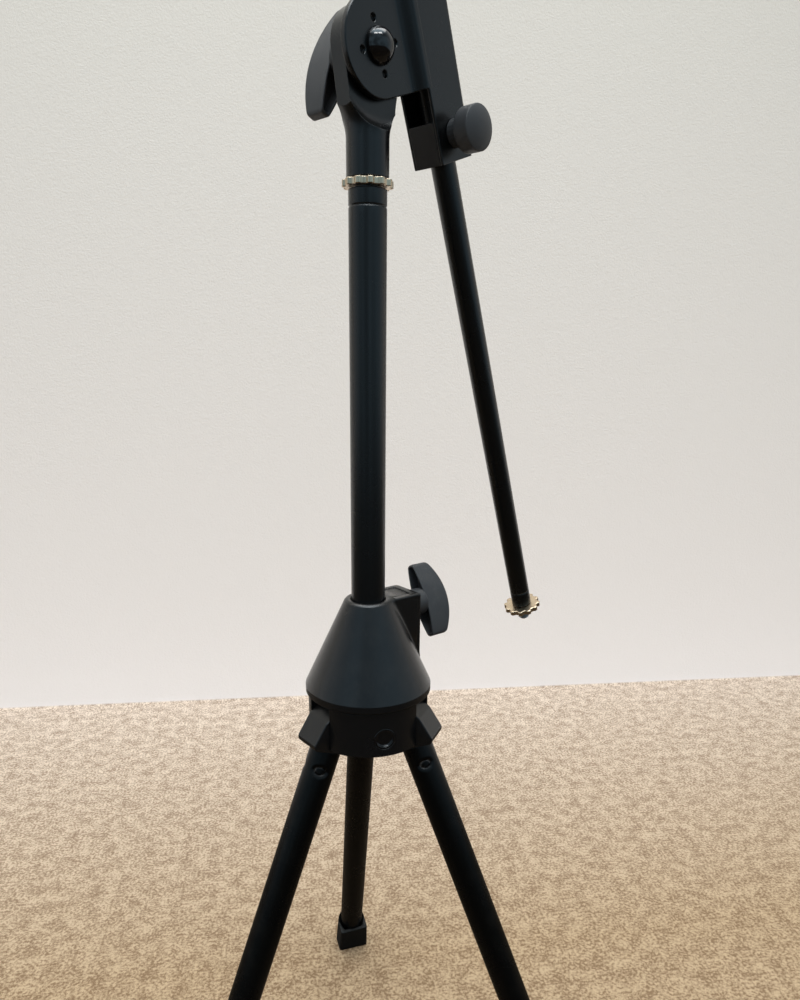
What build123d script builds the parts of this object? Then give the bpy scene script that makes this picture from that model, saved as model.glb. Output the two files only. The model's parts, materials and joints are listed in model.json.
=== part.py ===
from build123d import *
import math
import os

# Folding floor stand with a swivel head and a boom arm, in millimetres.
# Origin: on the mast axis at floor level. +Z is up and the rear leg points along +Y.

# Legs
LEG_COUNT = 3
FIRST_LEG_ANGLE = 90.0          # heading of leg 1, degrees from +X
LEG_SLOPE = 67.5                # leg axis below horizontal when open
LEG_LENGTH = 396.2              # hinge pin to floor, along the leg axis
LEG_TUBE_RADIUS = 11.0
LEG_TUBE_WALL = 1.2
HINGE_RADIUS = 28.7             # hinge pin from the mast axis
HEAD_WIDTH = 22.0
HEAD_DROP = 20.9                # hinge pin to the end of the leg head, along the leg
HEAD_WING = 8.3                 # how far the leg head stands out beyond the tube
HEAD_SHOULDER = 15.0            # half thickness of the leg head beside the pin
HEAD_CROWN = 12.0               # leg head above the pin
HEAD_SHOULDER_DROP = 1.2        # where the head is thickest, below the pin
HEAD_NOSE = (8.4, 10.1)         # outer end of the head's top, out from the pin and above it
HEAD_BACK_BEVEL = 4.0
HEAD_ROUNDING = 2.0             # outer corners of the leg head
SPIGOT_LENGTH = 30.0
PIN_RADIUS = 3.0
PIN_RUNNING_CLEARANCE = 0.05

# Feet
FOOT_HALF_WIDTH = 15.0
FOOT_INNER_DEPTH = 14.0
FOOT_LENGTH = 43.0
FOOT_SOLE = 9.0                 # rubber below the end of the leg tube, along the leg
FOOT_MOUTH = 2.0                # flare of the socket mouth
FOOT_MOUTH_DEPTH = 6.0
FOOT_TWIST = (9.0, 0.0, 0.0)    # turn of each boot about its leg

# Hub
SKIRT_RADIUS = 42.3
SKIRT_BELOW_HINGE = 16.0
SKIRT_ABOVE_HINGE = 15.6
SKIRT_WALL = 3.6
SKIRT_FLOOR = 4.0
SLOT_SIDE_CLEARANCE = 0.3
SLOT_WALL = 4.0
HUB_TUBE_RADIUS = 16.8
HEEL_CLEARANCE = 0.3
CONE_RADIUS = 44.2
CONE_TOP_RADIUS = 16.6
CONE_HEIGHT = 67.6
CONE_BAND = 4.6                 # upright band at the foot of the cone
CONE_CHAMFER = 1.6
CONE_LIP = 1.4
CONE_WALL = 3.2
CONE_COLLAR = 25.0              # solid collar at the top of the cone
BOSS_REACH = 36.0
BOSS_WIDTH = 27.0
BOSS_HEIGHT = 48.0
BOSS_CORNER = 3.0
BOSS_HEADING = 30.0
COVER_NEAR = 14.6
COVER_FAR = 30.6
COVER_WIDTH = 18.0
COVER_THICKNESS = 1.5
COVER_SUNK = 1.6
NUT_SIZE = 13.0
NUT_THICKNESS = 6.0
NUT_RADIUS_FROM_MAST = 24.0
NUT_POCKET_GAP = 0.2
PLUG_HEADING = -81.0
PLUG_RADIUS = 7.6
PLUG_DEPTH = 3.0
PLUG_SUNK = 0.9
PLUG_EDGE = 0.6
PLUG_ABOVE_FLOOR_OF_SKIRT = 13.0
SCREW_CIRCLE = 33.0
SCREW_RADIUS = 1.75
SCREW_HEAD_RADIUS = 3.4
SCREW_HEAD_HEIGHT = 2.4
SCREW_HEAD_SUNK = 0.4
SCREW_LENGTH = 39.0
SCREW_BOSS_RADIUS = 4.6

# Mast
MAST_RADIUS = 11.5
MAST_WALL = 1.2
MAST_LENGTH = 348.6
MAST_SUNK = 2.0                 # lower end of the mast above the hub's underside
MAST_GROOVE_DROP = 8.5
MAST_GROOVE_DEPTH = 0.4
MAST_GROOVE_HEIGHT = 1.6
MAST_RIM = 0.7
MAST_HOLE_CLEARANCE = 0.6       # between the mast and the cone's top
BUSH_WALL = 2.0
BUSH_RUNNING_CLEARANCE = 0.05
BUSH_LENGTH = 22.0
BUSH_BELOW_TOP = 2.8            # upper bush below the top of the cone
THREAD_RADIUS = 7.9
THREAD_RISE = 22.0
INSERT_DEPTH = 28.0
THREAD_RUNNING_CLEARANCE = 0.05
END_PLUG_GAP = 0.5               # between the flange and the hub's bore
END_PLUG_STOP = 0.3             # between the flange and the lower bush
END_PLUG_DEPTH = 12.0

# Lobed lock nuts
LOCK_NUT_RADIUS = 15.2
LOCK_NUT_ROOT = 13.4
LOCK_NUT_LOBE = 2.4
LOCK_NUT_THICKNESS = 4.0
LOCK_NUT_LOBES = 12
LOCK_NUT_GAP = 0.8

# Swivel neck
NECK_RADIUS = 12.6
NECK_TO_PIVOT = 64.2            # underside of the neck to the tilt pivot
EAR_RADIUS = 22.3
EAR_THICKNESS = 10.4
EAR_CENTRE = 0.65               # mid plane of the ear, away from the boom plate
EAR_FLAT = 30.6                 # radius of the flat beside the ear, about the pivot
SHOULDER_DROP = 44.0            # where the neck starts to widen, below the pivot
SHOULDER_FILLET = 14.0
SHOULDER_FLARE = 4.7            # widening of the neck over that height
HOLLOW_RUN = 1.25               # length of the hollow beside the ear per unit of its depth
HEAD_HEADING = 37.0             # heading of the boom plane
PIVOT_BOLT_RADIUS = 4.0
BOLT_RUNNING_CLEARANCE = 0.05

# Boom carrier
BOOM_LEAN = 20.2                # boom from vertical when folded down
PLATE_RADIUS = 25.0
PLATE_THICKNESS = 4.0
WASHER_THICKNESS = 0.8
WASHER_RADIUS = 15.0
CARRIER_NEAR = 15.5             # outer face on the plate's side, from the mast axis
CARRIER_FRONT = 28.0            # open side of the channel from the pivot
CARRIER_DEPTH = 30.3
CARRIER_WALL = 2.0
CARRIER_HALF_LENGTH = 65.0
CARRIER_CORNER = 3.0
CARRIER_EDGE = 1.2
PLATE_HOLE_CIRCLE = 13.0
PLATE_HOLE_RADIUS = 1.9
PLATE_HOLES = 4
DOME_RADIUS = 9.4
DOME_HEIGHT = 8.2
DOME_RIM = 1.5
BLOCK_LENGTH = 23.0
BLOCK_SIDE_GAP = 0.05
BOOM_AXIS_OFFSET = 43.3         # boom axis from the pivot
BOOM_NEAR_ROOM = 3.1            # between the boom and the near wall
BOOM_FAR_ROOM = 1.0             # between the boom and the far wall
TUBE_RUNNING_CLEARANCE = 0.05

# Wing knobs
BASE_WING_LENGTH = 54.0
TILT_WING_LENGTH = 65.0
WING_WIDTH = 15.0               # across the middle of the wing
WING_TIP_WIDTH = 5.8
WING_THICKNESS = 20.5           # from the inner face to the top of the bowed outer face
WING_END_THICKNESS = 14.0
WING_EDGE = 1.2
WING_SHELL = 2.2
WING_POCKET = 6.0
WING_HUB_RADIUS = 9.6
WING_CORE_RADIUS = 7.0          # round core inside the wing's pocket
BASE_KNOB_HUB = 10.6
BASE_KNOB_GAP = 0.3
BASE_KNOB_TURN = -28.0
BASE_KNOB_DROP = 11.2           # knob axis below the top of the cone
BASE_STUD_RADIUS = 4.0
STUD_HOLE_CLEARANCE = 0.3
STUD_IN_KNOB = 20.0
SHOE_LENGTH = 4.0
SHOE_GAP = 0.3
TILT_HANDLE_HUB = 14.8
TILT_HANDLE_GAP = 0.3
TILT_HANDLE_TURN = 23.0
HANDLE_WASHER_THICKNESS = 1.2
HANDLE_INSERT_RADIUS = 6.5
HANDLE_INSERT_LENGTH = 14.0

# Round boom knob
ROUND_KNOB_RADIUS = 12.6
ROUND_KNOB_RIM = 10.0
ROUND_KNOB_DOME = 3.0
ROUND_KNOB_NECK_RADIUS = 8.0
ROUND_KNOB_NECK = 9.0
ROUND_KNOB_GAP = 0.3
ROUND_KNOB_DROP = 50.5          # knob axis below the pivot, along the boom
KNOB_SCREW_RADIUS = 3.0
KNOB_SCREW_IN_KNOB = 12.0
PAD_THICKNESS = 1.5
PAD_RADIUS = 3.4
PAD_GAP = 0.1
PAD_TUBE_GAP = 0.3

# Boom
BOOM_RADIUS = 8.0
BOOM_WALL = 1.0
BOOM_BELOW = 404.5              # pivot to the thread end of the tube
BOOM_ABOVE = 226.0              # pivot to the capped end of the tube
BOOM_GROOVE_RISE = 12.0
BOOM_GROOVE_DEPTH = 0.3
BOOM_GROOVE_HEIGHT = 1.4
STUD_RADIUS = 4.76
STUD_LENGTH = 15.5
STUD_CHAMFER = 1.0
STUD_RELIEF = 1.0               # width of the undercut at the lock nut's lower face
STUD_RELIEF_DEPTH = 0.4
BOOM_INSERT_DEPTH = 26.0
CAP_WALL = 1.4
CAP_LENGTH = 22.0
CAP_END = 3.0
CAP_EDGE = 1.2

THROUGH = 99.0                  # longer than any hole

# Heights and places that follow from the sizes above
HINGE_HEIGHT = LEG_LENGTH * math.sin(math.radians(LEG_SLOPE))
HUB_BOTTOM = HINGE_HEIGHT - SKIRT_BELOW_HINGE
CONE_BOTTOM = HINGE_HEIGHT + SKIRT_ABOVE_HINGE
CONE_TOP = CONE_BOTTOM + CONE_HEIGHT
KNOB_HEIGHT = CONE_TOP - BASE_KNOB_DROP
MAST_BOTTOM = HUB_BOTTOM + MAST_SUNK
MAST_TOP = MAST_BOTTOM + MAST_LENGTH
LOCK_NUT_BOTTOM = MAST_TOP + LOCK_NUT_GAP
NECK_BOTTOM = LOCK_NUT_BOTTOM + LOCK_NUT_THICKNESS + LOCK_NUT_GAP
PIVOT_HEIGHT = NECK_BOTTOM + NECK_TO_PIVOT
BUSH_RADIUS = MAST_RADIUS + BUSH_WALL
EAR_BACK = EAR_CENTRE + EAR_THICKNESS / 2
EAR_FRONT = EAR_CENTRE - EAR_THICKNESS / 2
PLATE_BACK = EAR_FRONT - WASHER_THICKNESS
PLATE_FRONT = PLATE_BACK - PLATE_THICKNESS
BOOM_FROM_NEAR = CARRIER_WALL + BOOM_NEAR_ROOM + BOOM_RADIUS
BOOM_SIDE = -CARRIER_NEAR + BOOM_FROM_NEAR
CARRIER_WIDTH = BOOM_FROM_NEAR + BOOM_RADIUS + BOOM_FAR_ROOM + CARRIER_WALL
SLOT_HALF_WIDTH = HEAD_WIDTH / 2 + SLOT_SIDE_CLEARANCE

UPRIGHT = (Align.CENTER, Align.CENTER, Align.MIN)


def rod(radius, low, high):
    """Solid cylinder on the Z axis between two heights."""
    return Pos(0, 0, low) * Cylinder(radius, high - low, align=UPRIGHT)


def tube(outer, inner, low, high):
    """Hollow cylinder on the Z axis between two heights."""
    return rod(outer, low, high) - rod(inner, low - 1, high + 1)


def cone_step(lower_radius, upper_radius, low, high):
    """Solid truncated cone on the Z axis between two heights."""
    return Pos(0, 0, low) * Cone(lower_radius, upper_radius, high - low, align=UPRIGHT)


def block(x_low, x_high, half_width, z_low, z_high):
    """Box between two X values and two heights, centred on Y."""
    size = (x_high - x_low, 2 * half_width, z_high - z_low)
    return Pos(x_low, 0, z_low) * Box(*size, align=(Align.MIN, Align.CENTER, Align.MIN))


def slab(x_low, x_high, y_low, y_high, z_low, z_high):
    """Box between two corners."""
    size = (x_high - x_low, y_high - y_low, z_high - z_low)
    return Pos(x_low, y_low, z_low) * Box(*size, align=(Align.MIN, Align.MIN, Align.MIN))


def side_plate(outline, half_width):
    """Closed outline of XZ points, extruded both ways along Y."""
    face = make_face(Plane.XZ * Polyline(*outline, close=True))
    return extrude(face, amount=half_width, both=True)


def radial_rod(radius, near, far, height):
    """Cylinder along +X between two distances from the Z axis."""
    return Pos(near, 0, height) * Rot(0, 90, 0) * Cylinder(radius, far - near, align=UPRIGHT)


def crosswise_rod(radius, y_low, y_high, x, height):
    """Cylinder along Y between two Y values."""
    return Pos(x, y_high, height) * Rot(90, 0, 0) * Cylinder(radius, y_high - y_low, align=UPRIGHT)


def leg_heading(index):
    return FIRST_LEG_ANGLE + index * 360.0 / LEG_COUNT


# Frames: a leg lies along -Z of its own frame, the boom along -Z of the carrier frame.
LEG_FRAME = Pos(HINGE_RADIUS, 0, HINGE_HEIGHT) * Rot(0, LEG_SLOPE - 90, 0)
HEAD_FRAME = Rot(0, 0, HEAD_HEADING)
CARRIER_FRAME = HEAD_FRAME * Pos(0, 0, PIVOT_HEIGHT) * Rot(0, -BOOM_LEAN, 0)


def leg_head():
    """Fork end of a leg: a block round the hinge pin with a wing and a heel that stops the leg."""
    wing = LEG_TUBE_RADIUS + HEAD_WING
    lean = math.radians(90 - LEG_SLOPE)
    heel = HINGE_RADIUS - HUB_TUBE_RADIUS - HEEL_CLEARANCE

    def in_leg(x, z):
        return (x * math.cos(lean) + z * math.sin(lean), z * math.cos(lean) - x * math.sin(lean))

    outline = [
        (-LEG_TUBE_RADIUS, -HEAD_DROP),
        (wing, -HEAD_DROP),
        (HEAD_SHOULDER, -HEAD_SHOULDER_DROP),
        HEAD_NOSE,
        in_leg(HEAD_BACK_BEVEL - heel, HEAD_CROWN),
        in_leg(-heel, HEAD_CROWN - HEAD_BACK_BEVEL),
        in_leg(-heel, 0),
    ]
    body = side_plate(outline, HEAD_WIDTH / 2)
    body = fillet(body.edges().filter_by(Axis.Y).sort_by(Axis.X)[-3:], HEAD_ROUNDING)
    spigot = rod(LEG_TUBE_RADIUS - LEG_TUBE_WALL, -HEAD_DROP - SPIGOT_LENGTH, -HEAD_DROP)
    bore = crosswise_rod(PIN_RADIUS + PIN_RUNNING_CLEARANCE, -HEAD_WIDTH, HEAD_WIDTH, 0, 0)
    return body + spigot - bore


def leg_tube():
    low = -LEG_LENGTH + FOOT_SOLE
    return tube(LEG_TUBE_RADIUS, LEG_TUBE_RADIUS - LEG_TUBE_WALL, low, -HEAD_DROP)


def foot(twist):
    """Rubber boot: flat inner side, round back, socket for the tube, sole cut level."""
    low = -LEG_LENGTH - FOOT_HALF_WIDTH
    high = -LEG_LENGTH + FOOT_LENGTH
    body = rod(FOOT_HALF_WIDTH, low, high)
    body += slab(-FOOT_INNER_DEPTH, 0, -FOOT_HALF_WIDTH, FOOT_HALF_WIDTH, low, high)
    socket_floor = -LEG_LENGTH + FOOT_SOLE
    body -= rod(LEG_TUBE_RADIUS, socket_floor, high + 1)
    mouth_low = high - FOOT_MOUTH_DEPTH
    body -= cone_step(LEG_TUBE_RADIUS, LEG_TUBE_RADIUS + FOOT_MOUTH, mouth_low, high)
    standing = LEG_FRAME * Rot(0, 0, twist) * body
    reach = 4 * LEG_LENGTH
    return standing - slab(-reach, reach, -reach, reach, -reach, 0)


def hinge_pin():
    half = SLOT_HALF_WIDTH + SLOT_WALL
    return crosswise_rod(PIN_RADIUS, -half, half, HINGE_RADIUS, HINGE_HEIGHT)


def around(part_for_heading, offset=0.0):
    """One piece at each leg's heading, turned by an offset."""
    return [Rot(0, 0, leg_heading(i) + offset) * part_for_heading for i in range(LEG_COUNT)]


def leg_spider():
    """Skirt with three slots for the leg heads, hub tube, screw bosses and hinge-pin holes."""
    body = rod(SKIRT_RADIUS, HUB_BOTTOM, CONE_BOTTOM)
    pocket = tube(SKIRT_RADIUS - SKIRT_WALL, HUB_TUBE_RADIUS + SKIRT_WALL,
                  HUB_BOTTOM + SKIRT_FLOOR, CONE_BOTTOM + 1)
    for rib in around(block(0, SKIRT_RADIUS, SLOT_HALF_WIDTH + SLOT_WALL, HUB_BOTTOM, CONE_BOTTOM + 2)):
        pocket -= rib
    for post in around(Pos(SCREW_CIRCLE, 0, 0) * rod(SCREW_BOSS_RADIUS, HUB_BOTTOM, CONE_BOTTOM + 2), 60):
        pocket -= post
    backing = Pos(SKIRT_RADIUS - 2 * PLUG_DEPTH, 0, HUB_BOTTOM + PLUG_ABOVE_FLOOR_OF_SKIRT)
    backing *= Rot(0, 90, 0) * Cylinder(PLUG_RADIUS + SKIRT_WALL, 2 * PLUG_DEPTH, align=UPRIGHT)
    pocket -= Rot(0, 0, PLUG_HEADING) * backing
    body -= pocket
    for slot in around(block(HUB_TUBE_RADIUS, 2 * SKIRT_RADIUS, SLOT_HALF_WIDTH,
                             HUB_BOTTOM - 1, CONE_BOTTOM + 1)):
        body -= slot
    for pin in around(hinge_pin()):
        body -= pin
    for screw in around(screw_room(), 60):
        body -= screw
    body -= rod(BUSH_RADIUS, HUB_BOTTOM - 1, CONE_BOTTOM + 1)
    body -= Rot(0, 0, PLUG_HEADING) * plug_recess()
    return body


def screw_room():
    """Space for one hub screw: shank right through and a sunk head."""
    shank = rod(SCREW_RADIUS, HUB_BOTTOM - 1, CONE_BOTTOM + 1)
    head = rod(SCREW_HEAD_RADIUS, HUB_BOTTOM - 1, HUB_BOTTOM + SCREW_HEAD_HEIGHT)
    return Pos(SCREW_CIRCLE, 0, 0) * (shank + head)


def hub_screw():
    shank = rod(SCREW_RADIUS, HUB_BOTTOM + SCREW_HEAD_HEIGHT, HUB_BOTTOM + SCREW_LENGTH)
    head = rod(SCREW_HEAD_RADIUS, HUB_BOTTOM + SCREW_HEAD_SUNK, HUB_BOTTOM + SCREW_HEAD_HEIGHT)
    return Pos(SCREW_CIRCLE, 0, 0) * (shank + head)


def plug_recess():
    return radial_rod(PLUG_RADIUS, SKIRT_RADIUS - PLUG_DEPTH, SKIRT_RADIUS + 2,
                      HUB_BOTTOM + PLUG_ABOVE_FLOOR_OF_SKIRT)


def skirt_plug():
    """Shallow round cap that fills the recess in the skirt."""
    height = HUB_BOTTOM + PLUG_ABOVE_FLOOR_OF_SKIRT
    cap = radial_rod(PLUG_RADIUS, SKIRT_RADIUS - PLUG_DEPTH, SKIRT_RADIUS - PLUG_SUNK, height)
    cap = chamfer(cap.faces().sort_by(Axis.X)[-1].edges(), PLUG_EDGE)
    return Rot(0, 0, PLUG_HEADING) * cap


def cone_housing():
    """Conical cover with a solid collar, a clamp boss and a nut pocket open at the top."""
    band_top = CONE_BOTTOM + CONE_CHAMFER + CONE_BAND
    outline = [
        (0, CONE_BOTTOM),
        (CONE_RADIUS - CONE_CHAMFER, CONE_BOTTOM),
        (CONE_RADIUS, CONE_BOTTOM + CONE_CHAMFER),
        (CONE_RADIUS, band_top),
        (CONE_TOP_RADIUS, CONE_TOP - CONE_LIP),
        (CONE_TOP_RADIUS - CONE_LIP, CONE_TOP),
        (0, CONE_TOP),
    ]
    body = revolve(make_face(Plane.XZ * Polyline(*outline, close=True)), Axis.Z)
    boss = block(0, BOSS_REACH, BOSS_WIDTH / 2, CONE_TOP - BOSS_HEIGHT, CONE_TOP)
    boss = fillet(boss.edges().filter_by(Axis.Z).group_by(Axis.X)[-1], BOSS_CORNER)
    boss = chamfer(boss.faces().sort_by(Axis.Z)[-1].edges(), CONE_LIP / 2)
    body += Rot(0, 0, BOSS_HEADING) * boss
    collar_bottom = CONE_TOP - CONE_COLLAR
    slope = (CONE_RADIUS - CONE_TOP_RADIUS) / (CONE_TOP - CONE_LIP - band_top)
    inner_low = CONE_RADIUS - CONE_WALL
    inner_high = CONE_TOP_RADIUS + slope * (CONE_COLLAR - CONE_LIP) - CONE_WALL
    cavity = rod(inner_low, CONE_BOTTOM - 1, band_top)
    cavity += cone_step(inner_low, inner_high, band_top, collar_bottom)
    for post in around(Pos(SCREW_CIRCLE, 0, 0) * rod(SCREW_BOSS_RADIUS, CONE_BOTTOM, CONE_TOP), 60):
        cavity -= post
    body -= cavity
    body -= rod(BUSH_RADIUS, CONE_BOTTOM - 1, CONE_TOP - BUSH_BELOW_TOP)
    body -= rod(MAST_RADIUS + MAST_HOLE_CLEARANCE, CONE_BOTTOM, CONE_TOP + 1)
    body -= Rot(0, 0, BOSS_HEADING) * boss_cuts()
    for screw in around(Pos(SCREW_CIRCLE, 0, 0) * rod(SCREW_RADIUS, CONE_BOTTOM - 1, screw_end()), 60):
        body -= screw
    return body


def screw_end():
    return HUB_BOTTOM + SCREW_LENGTH


def boss_cuts():
    """Clamp screw hole, nut pocket and cover recess of the boss."""
    hole = radial_rod(BASE_STUD_RADIUS + STUD_HOLE_CLEARANCE, 0, BOSS_REACH + 1, KNOB_HEIGHT)
    half = NUT_SIZE / 2 + NUT_POCKET_GAP
    near = NUT_RADIUS_FROM_MAST - NUT_POCKET_GAP
    far = NUT_RADIUS_FROM_MAST + NUT_THICKNESS + NUT_POCKET_GAP
    pocket = block(near, far, half, KNOB_HEIGHT - NUT_SIZE / 2, CONE_TOP)
    recess_low = CONE_TOP - COVER_SUNK - COVER_THICKNESS
    recess = block(COVER_NEAR, COVER_FAR, COVER_WIDTH / 2, recess_low, CONE_TOP + 1)
    return hole + pocket + recess


def boss_cover():
    """Plate that closes the nut pocket, a little below the top of the boss."""
    high = CONE_TOP - COVER_SUNK
    cover = block(COVER_NEAR, COVER_FAR, COVER_WIDTH / 2, high - COVER_THICKNESS, high)
    return Rot(0, 0, BOSS_HEADING) * cover


def clamp_nut():
    """Square nut at the bottom of the boss pocket."""
    nut = block(NUT_RADIUS_FROM_MAST, NUT_RADIUS_FROM_MAST + NUT_THICKNESS, NUT_SIZE / 2,
                KNOB_HEIGHT - NUT_SIZE / 2, KNOB_HEIGHT + NUT_SIZE / 2)
    bore = radial_rod(BASE_STUD_RADIUS + THREAD_RUNNING_CLEARANCE, 0, BOSS_REACH, KNOB_HEIGHT)
    return Rot(0, 0, BOSS_HEADING) * (nut - bore)


def clamp_shoe():
    """Brass shoe between the clamp screw and the mast."""
    near = MAST_RADIUS + SHOE_GAP
    return Rot(0, 0, BOSS_HEADING) * radial_rod(BASE_STUD_RADIUS, near, near + SHOE_LENGTH, KNOB_HEIGHT)


def upper_bush():
    high = CONE_TOP - BUSH_BELOW_TOP
    bush = tube(BUSH_RADIUS, MAST_RADIUS + BUSH_RUNNING_CLEARANCE, high - BUSH_LENGTH, high)
    hole = radial_rod(BASE_STUD_RADIUS + STUD_HOLE_CLEARANCE, 0, BOSS_REACH, KNOB_HEIGHT)
    return bush - Rot(0, 0, BOSS_HEADING) * hole


def lower_bush():
    low = MAST_BOTTOM + END_PLUG_STOP
    return tube(BUSH_RADIUS, MAST_RADIUS + BUSH_RUNNING_CLEARANCE, low, low + BUSH_LENGTH)


def wing_profile(length, thickness, tip_thickness):
    """Bar along Z seen from its side: flat inner face on X = 0 and a bowed outer face."""
    half = length / 2
    outline = Plane.XZ * (
        Line((0, -half), (0, half))
        + Line((0, half), (tip_thickness, half))
        + ThreePointArc((tip_thickness, half), (thickness, 0), (tip_thickness, -half))
        + Line((tip_thickness, -half), (0, -half))
    )
    return extrude(make_face(outline), amount=WING_WIDTH, both=True)


def lens(length, width, tip_width, depth):
    """Plate from X = 0 to the depth, long along Z and widest in its middle."""
    half = length / 2
    side = width / 2
    tip = tip_width / 2
    outline = Plane.YZ * (
        Line((-tip, -half), (tip, -half))
        + ThreePointArc((tip, -half), (side, 0), (tip, half))
        + Line((tip, half), (-tip, half))
        + ThreePointArc((-tip, half), (-side, 0), (-tip, -half))
    )
    return extrude(make_face(outline), amount=depth)


def wing_bar(length):
    """Moulded wing with rounded edges, hollow on the side that faces the joint."""
    bar = wing_profile(length, WING_THICKNESS, WING_END_THICKNESS)
    bar &= lens(length, WING_WIDTH, WING_TIP_WIDTH, WING_THICKNESS + 1)
    bar = fillet(bar.edges(), WING_EDGE)
    shell = 2 * WING_SHELL
    hollow = lens(length - 2 * shell, WING_WIDTH - shell, WING_TIP_WIDTH - shell + WING_EDGE, WING_POCKET)
    return bar - hollow


def wing_knob(length, hub_length, insert_radius, insert_depth):
    """Wing bar on a round hub; the hub's end face is at X = 0 and the wing lies along Z."""
    hub = Rot(0, 90, 0) * Cylinder(WING_HUB_RADIUS, hub_length, align=UPRIGHT)
    core = Rot(0, 90, 0) * Cylinder(WING_CORE_RADIUS, hub_length + WING_POCKET + WING_SHELL, align=UPRIGHT)
    bore = Rot(0, 90, 0) * Cylinder(insert_radius, insert_depth, align=UPRIGHT)
    return Pos(hub_length, 0, 0) * wing_bar(length) + hub + core - bore


def base_knob_frame():
    turn = Rot(BASE_KNOB_TURN, 0, 0)
    return Rot(0, 0, BOSS_HEADING) * Pos(BOSS_REACH + BASE_KNOB_GAP, 0, KNOB_HEIGHT) * turn


def base_knob():
    return base_knob_frame() * wing_knob(BASE_WING_LENGTH, BASE_KNOB_HUB, BASE_STUD_RADIUS, STUD_IN_KNOB)


def base_knob_stud():
    near = MAST_RADIUS + SHOE_GAP + SHOE_LENGTH + SHOE_GAP
    far = BOSS_REACH + BASE_KNOB_GAP + STUD_IN_KNOB
    return Rot(0, 0, BOSS_HEADING) * radial_rod(BASE_STUD_RADIUS, near, far, KNOB_HEIGHT)


def mast_tube():
    body = tube(MAST_RADIUS, MAST_RADIUS - MAST_WALL, MAST_BOTTOM, MAST_TOP)
    body = fillet(body.faces().sort_by(Axis.Z)[-1].edges().sort_by(SortBy.LENGTH)[-1], MAST_RIM)
    high = MAST_TOP - MAST_GROOVE_DROP
    groove = tube(MAST_RADIUS + 1, MAST_RADIUS - MAST_GROOVE_DEPTH, high - MAST_GROOVE_HEIGHT, high)
    return body - groove


def mast_thread():
    """Threaded insert in the top of the mast."""
    plug = rod(MAST_RADIUS - MAST_WALL, MAST_TOP - INSERT_DEPTH, MAST_TOP)
    return plug + rod(THREAD_RADIUS, MAST_TOP, MAST_TOP + THREAD_RISE)


def mast_end_plug():
    """Plug whose flange stops the mast under the lower bush."""
    flange = rod(BUSH_RADIUS - END_PLUG_GAP, HUB_BOTTOM, MAST_BOTTOM)
    return flange + rod(MAST_RADIUS - MAST_WALL, MAST_BOTTOM, MAST_BOTTOM + END_PLUG_DEPTH)


def lock_nut(bore):
    """Lobed ring nut standing on Z = 0."""
    body = rod(LOCK_NUT_ROOT, 0, LOCK_NUT_THICKNESS)
    lobe = Pos(LOCK_NUT_RADIUS - LOCK_NUT_LOBE, 0, 0) * rod(LOCK_NUT_LOBE, 0, LOCK_NUT_THICKNESS)
    for index in range(LOCK_NUT_LOBES):
        body += Rot(0, 0, index * 360.0 / LOCK_NUT_LOBES) * lobe
    return body - rod(bore, -1, LOCK_NUT_THICKNESS + 1)


def mast_lock_nut():
    return Pos(0, 0, LOCK_NUT_BOTTOM) * lock_nut(THREAD_RADIUS + THREAD_RUNNING_CLEARANCE)


def swivel_neck():
    """Round neck that widens and flattens into an ear round the tilt pivot."""
    reach = 2 * NECK_TO_PIVOT
    widest = EAR_RADIUS + EAR_THICKNESS
    outline = Polyline((0, EAR_RADIUS), (0, -NECK_TO_PIVOT), (NECK_RADIUS, -NECK_TO_PIVOT),
                       (NECK_RADIUS, -SHOULDER_DROP))
    flare_end = (NECK_RADIUS + SHOULDER_FLARE, -SHOULDER_DROP + SHOULDER_FILLET)
    flare = TangentArc((NECK_RADIUS, -SHOULDER_DROP), flare_end, tangent=(0, 1))
    rest = Polyline(flare @ 1, (widest, -EAR_RADIUS / 2), (widest, EAR_RADIUS), (0, EAR_RADIUS))
    turned = revolve(make_face(Plane.XZ * (outline + flare + rest)), Axis.Z)
    cheek_low = (NECK_TO_PIVOT + SHOULDER_DROP) / 2
    lean = math.asin((EAR_RADIUS - NECK_RADIUS) / cheek_low)
    touch = (EAR_RADIUS * math.cos(lean), -EAR_RADIUS * math.sin(lean))
    foot_point = (NECK_RADIUS / math.cos(lean), -cheek_low)
    low_point = (NECK_RADIUS / math.cos(lean), -NECK_TO_PIVOT)
    side = [low_point, foot_point, touch]
    left = [(-x, z) for x, z in reversed(side)]
    ear = side_plate(side + left, NECK_RADIUS)
    ear += crosswise_rod(EAR_RADIUS, -NECK_RADIUS, NECK_RADIUS, 0, 0)
    body = ear & turned
    body -= ear_side_cut(EAR_BACK)
    body -= mirror(ear_side_cut(-EAR_FRONT), Plane.XZ)
    body -= crosswise_rod(PIVOT_BOLT_RADIUS + BOLT_RUNNING_CLEARANCE, -reach, reach, 0, 0)
    body -= rod(THREAD_RADIUS + THREAD_RUNNING_CLEARANCE, -reach, -NECK_TO_PIVOT + THREAD_RISE)
    return HEAD_FRAME * Pos(0, 0, PIVOT_HEIGHT) * body


def ear_side_cut(face):
    """Round cut about the pivot: flat beside the ear, then a hollow rise to the neck's surface."""
    rise = NECK_RADIUS - face
    hollow = TangentArc((EAR_FLAT, face), (EAR_FLAT + rise * HOLLOW_RUN, NECK_RADIUS), tangent=(1, 0))
    outside = 2 * NECK_RADIUS
    rest = Polyline(hollow @ 1, ((hollow @ 1).X, outside), (0, outside), (0, face), (EAR_FLAT, face))
    return revolve(make_face(hollow + rest), Axis.Y)


def friction_washer():
    ring = crosswise_rod(WASHER_RADIUS, PLATE_BACK, EAR_FRONT, 0, 0)
    ring -= crosswise_rod(PIVOT_BOLT_RADIUS, -THROUGH, THROUGH, 0, 0)
    return CARRIER_FRAME * ring


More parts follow.
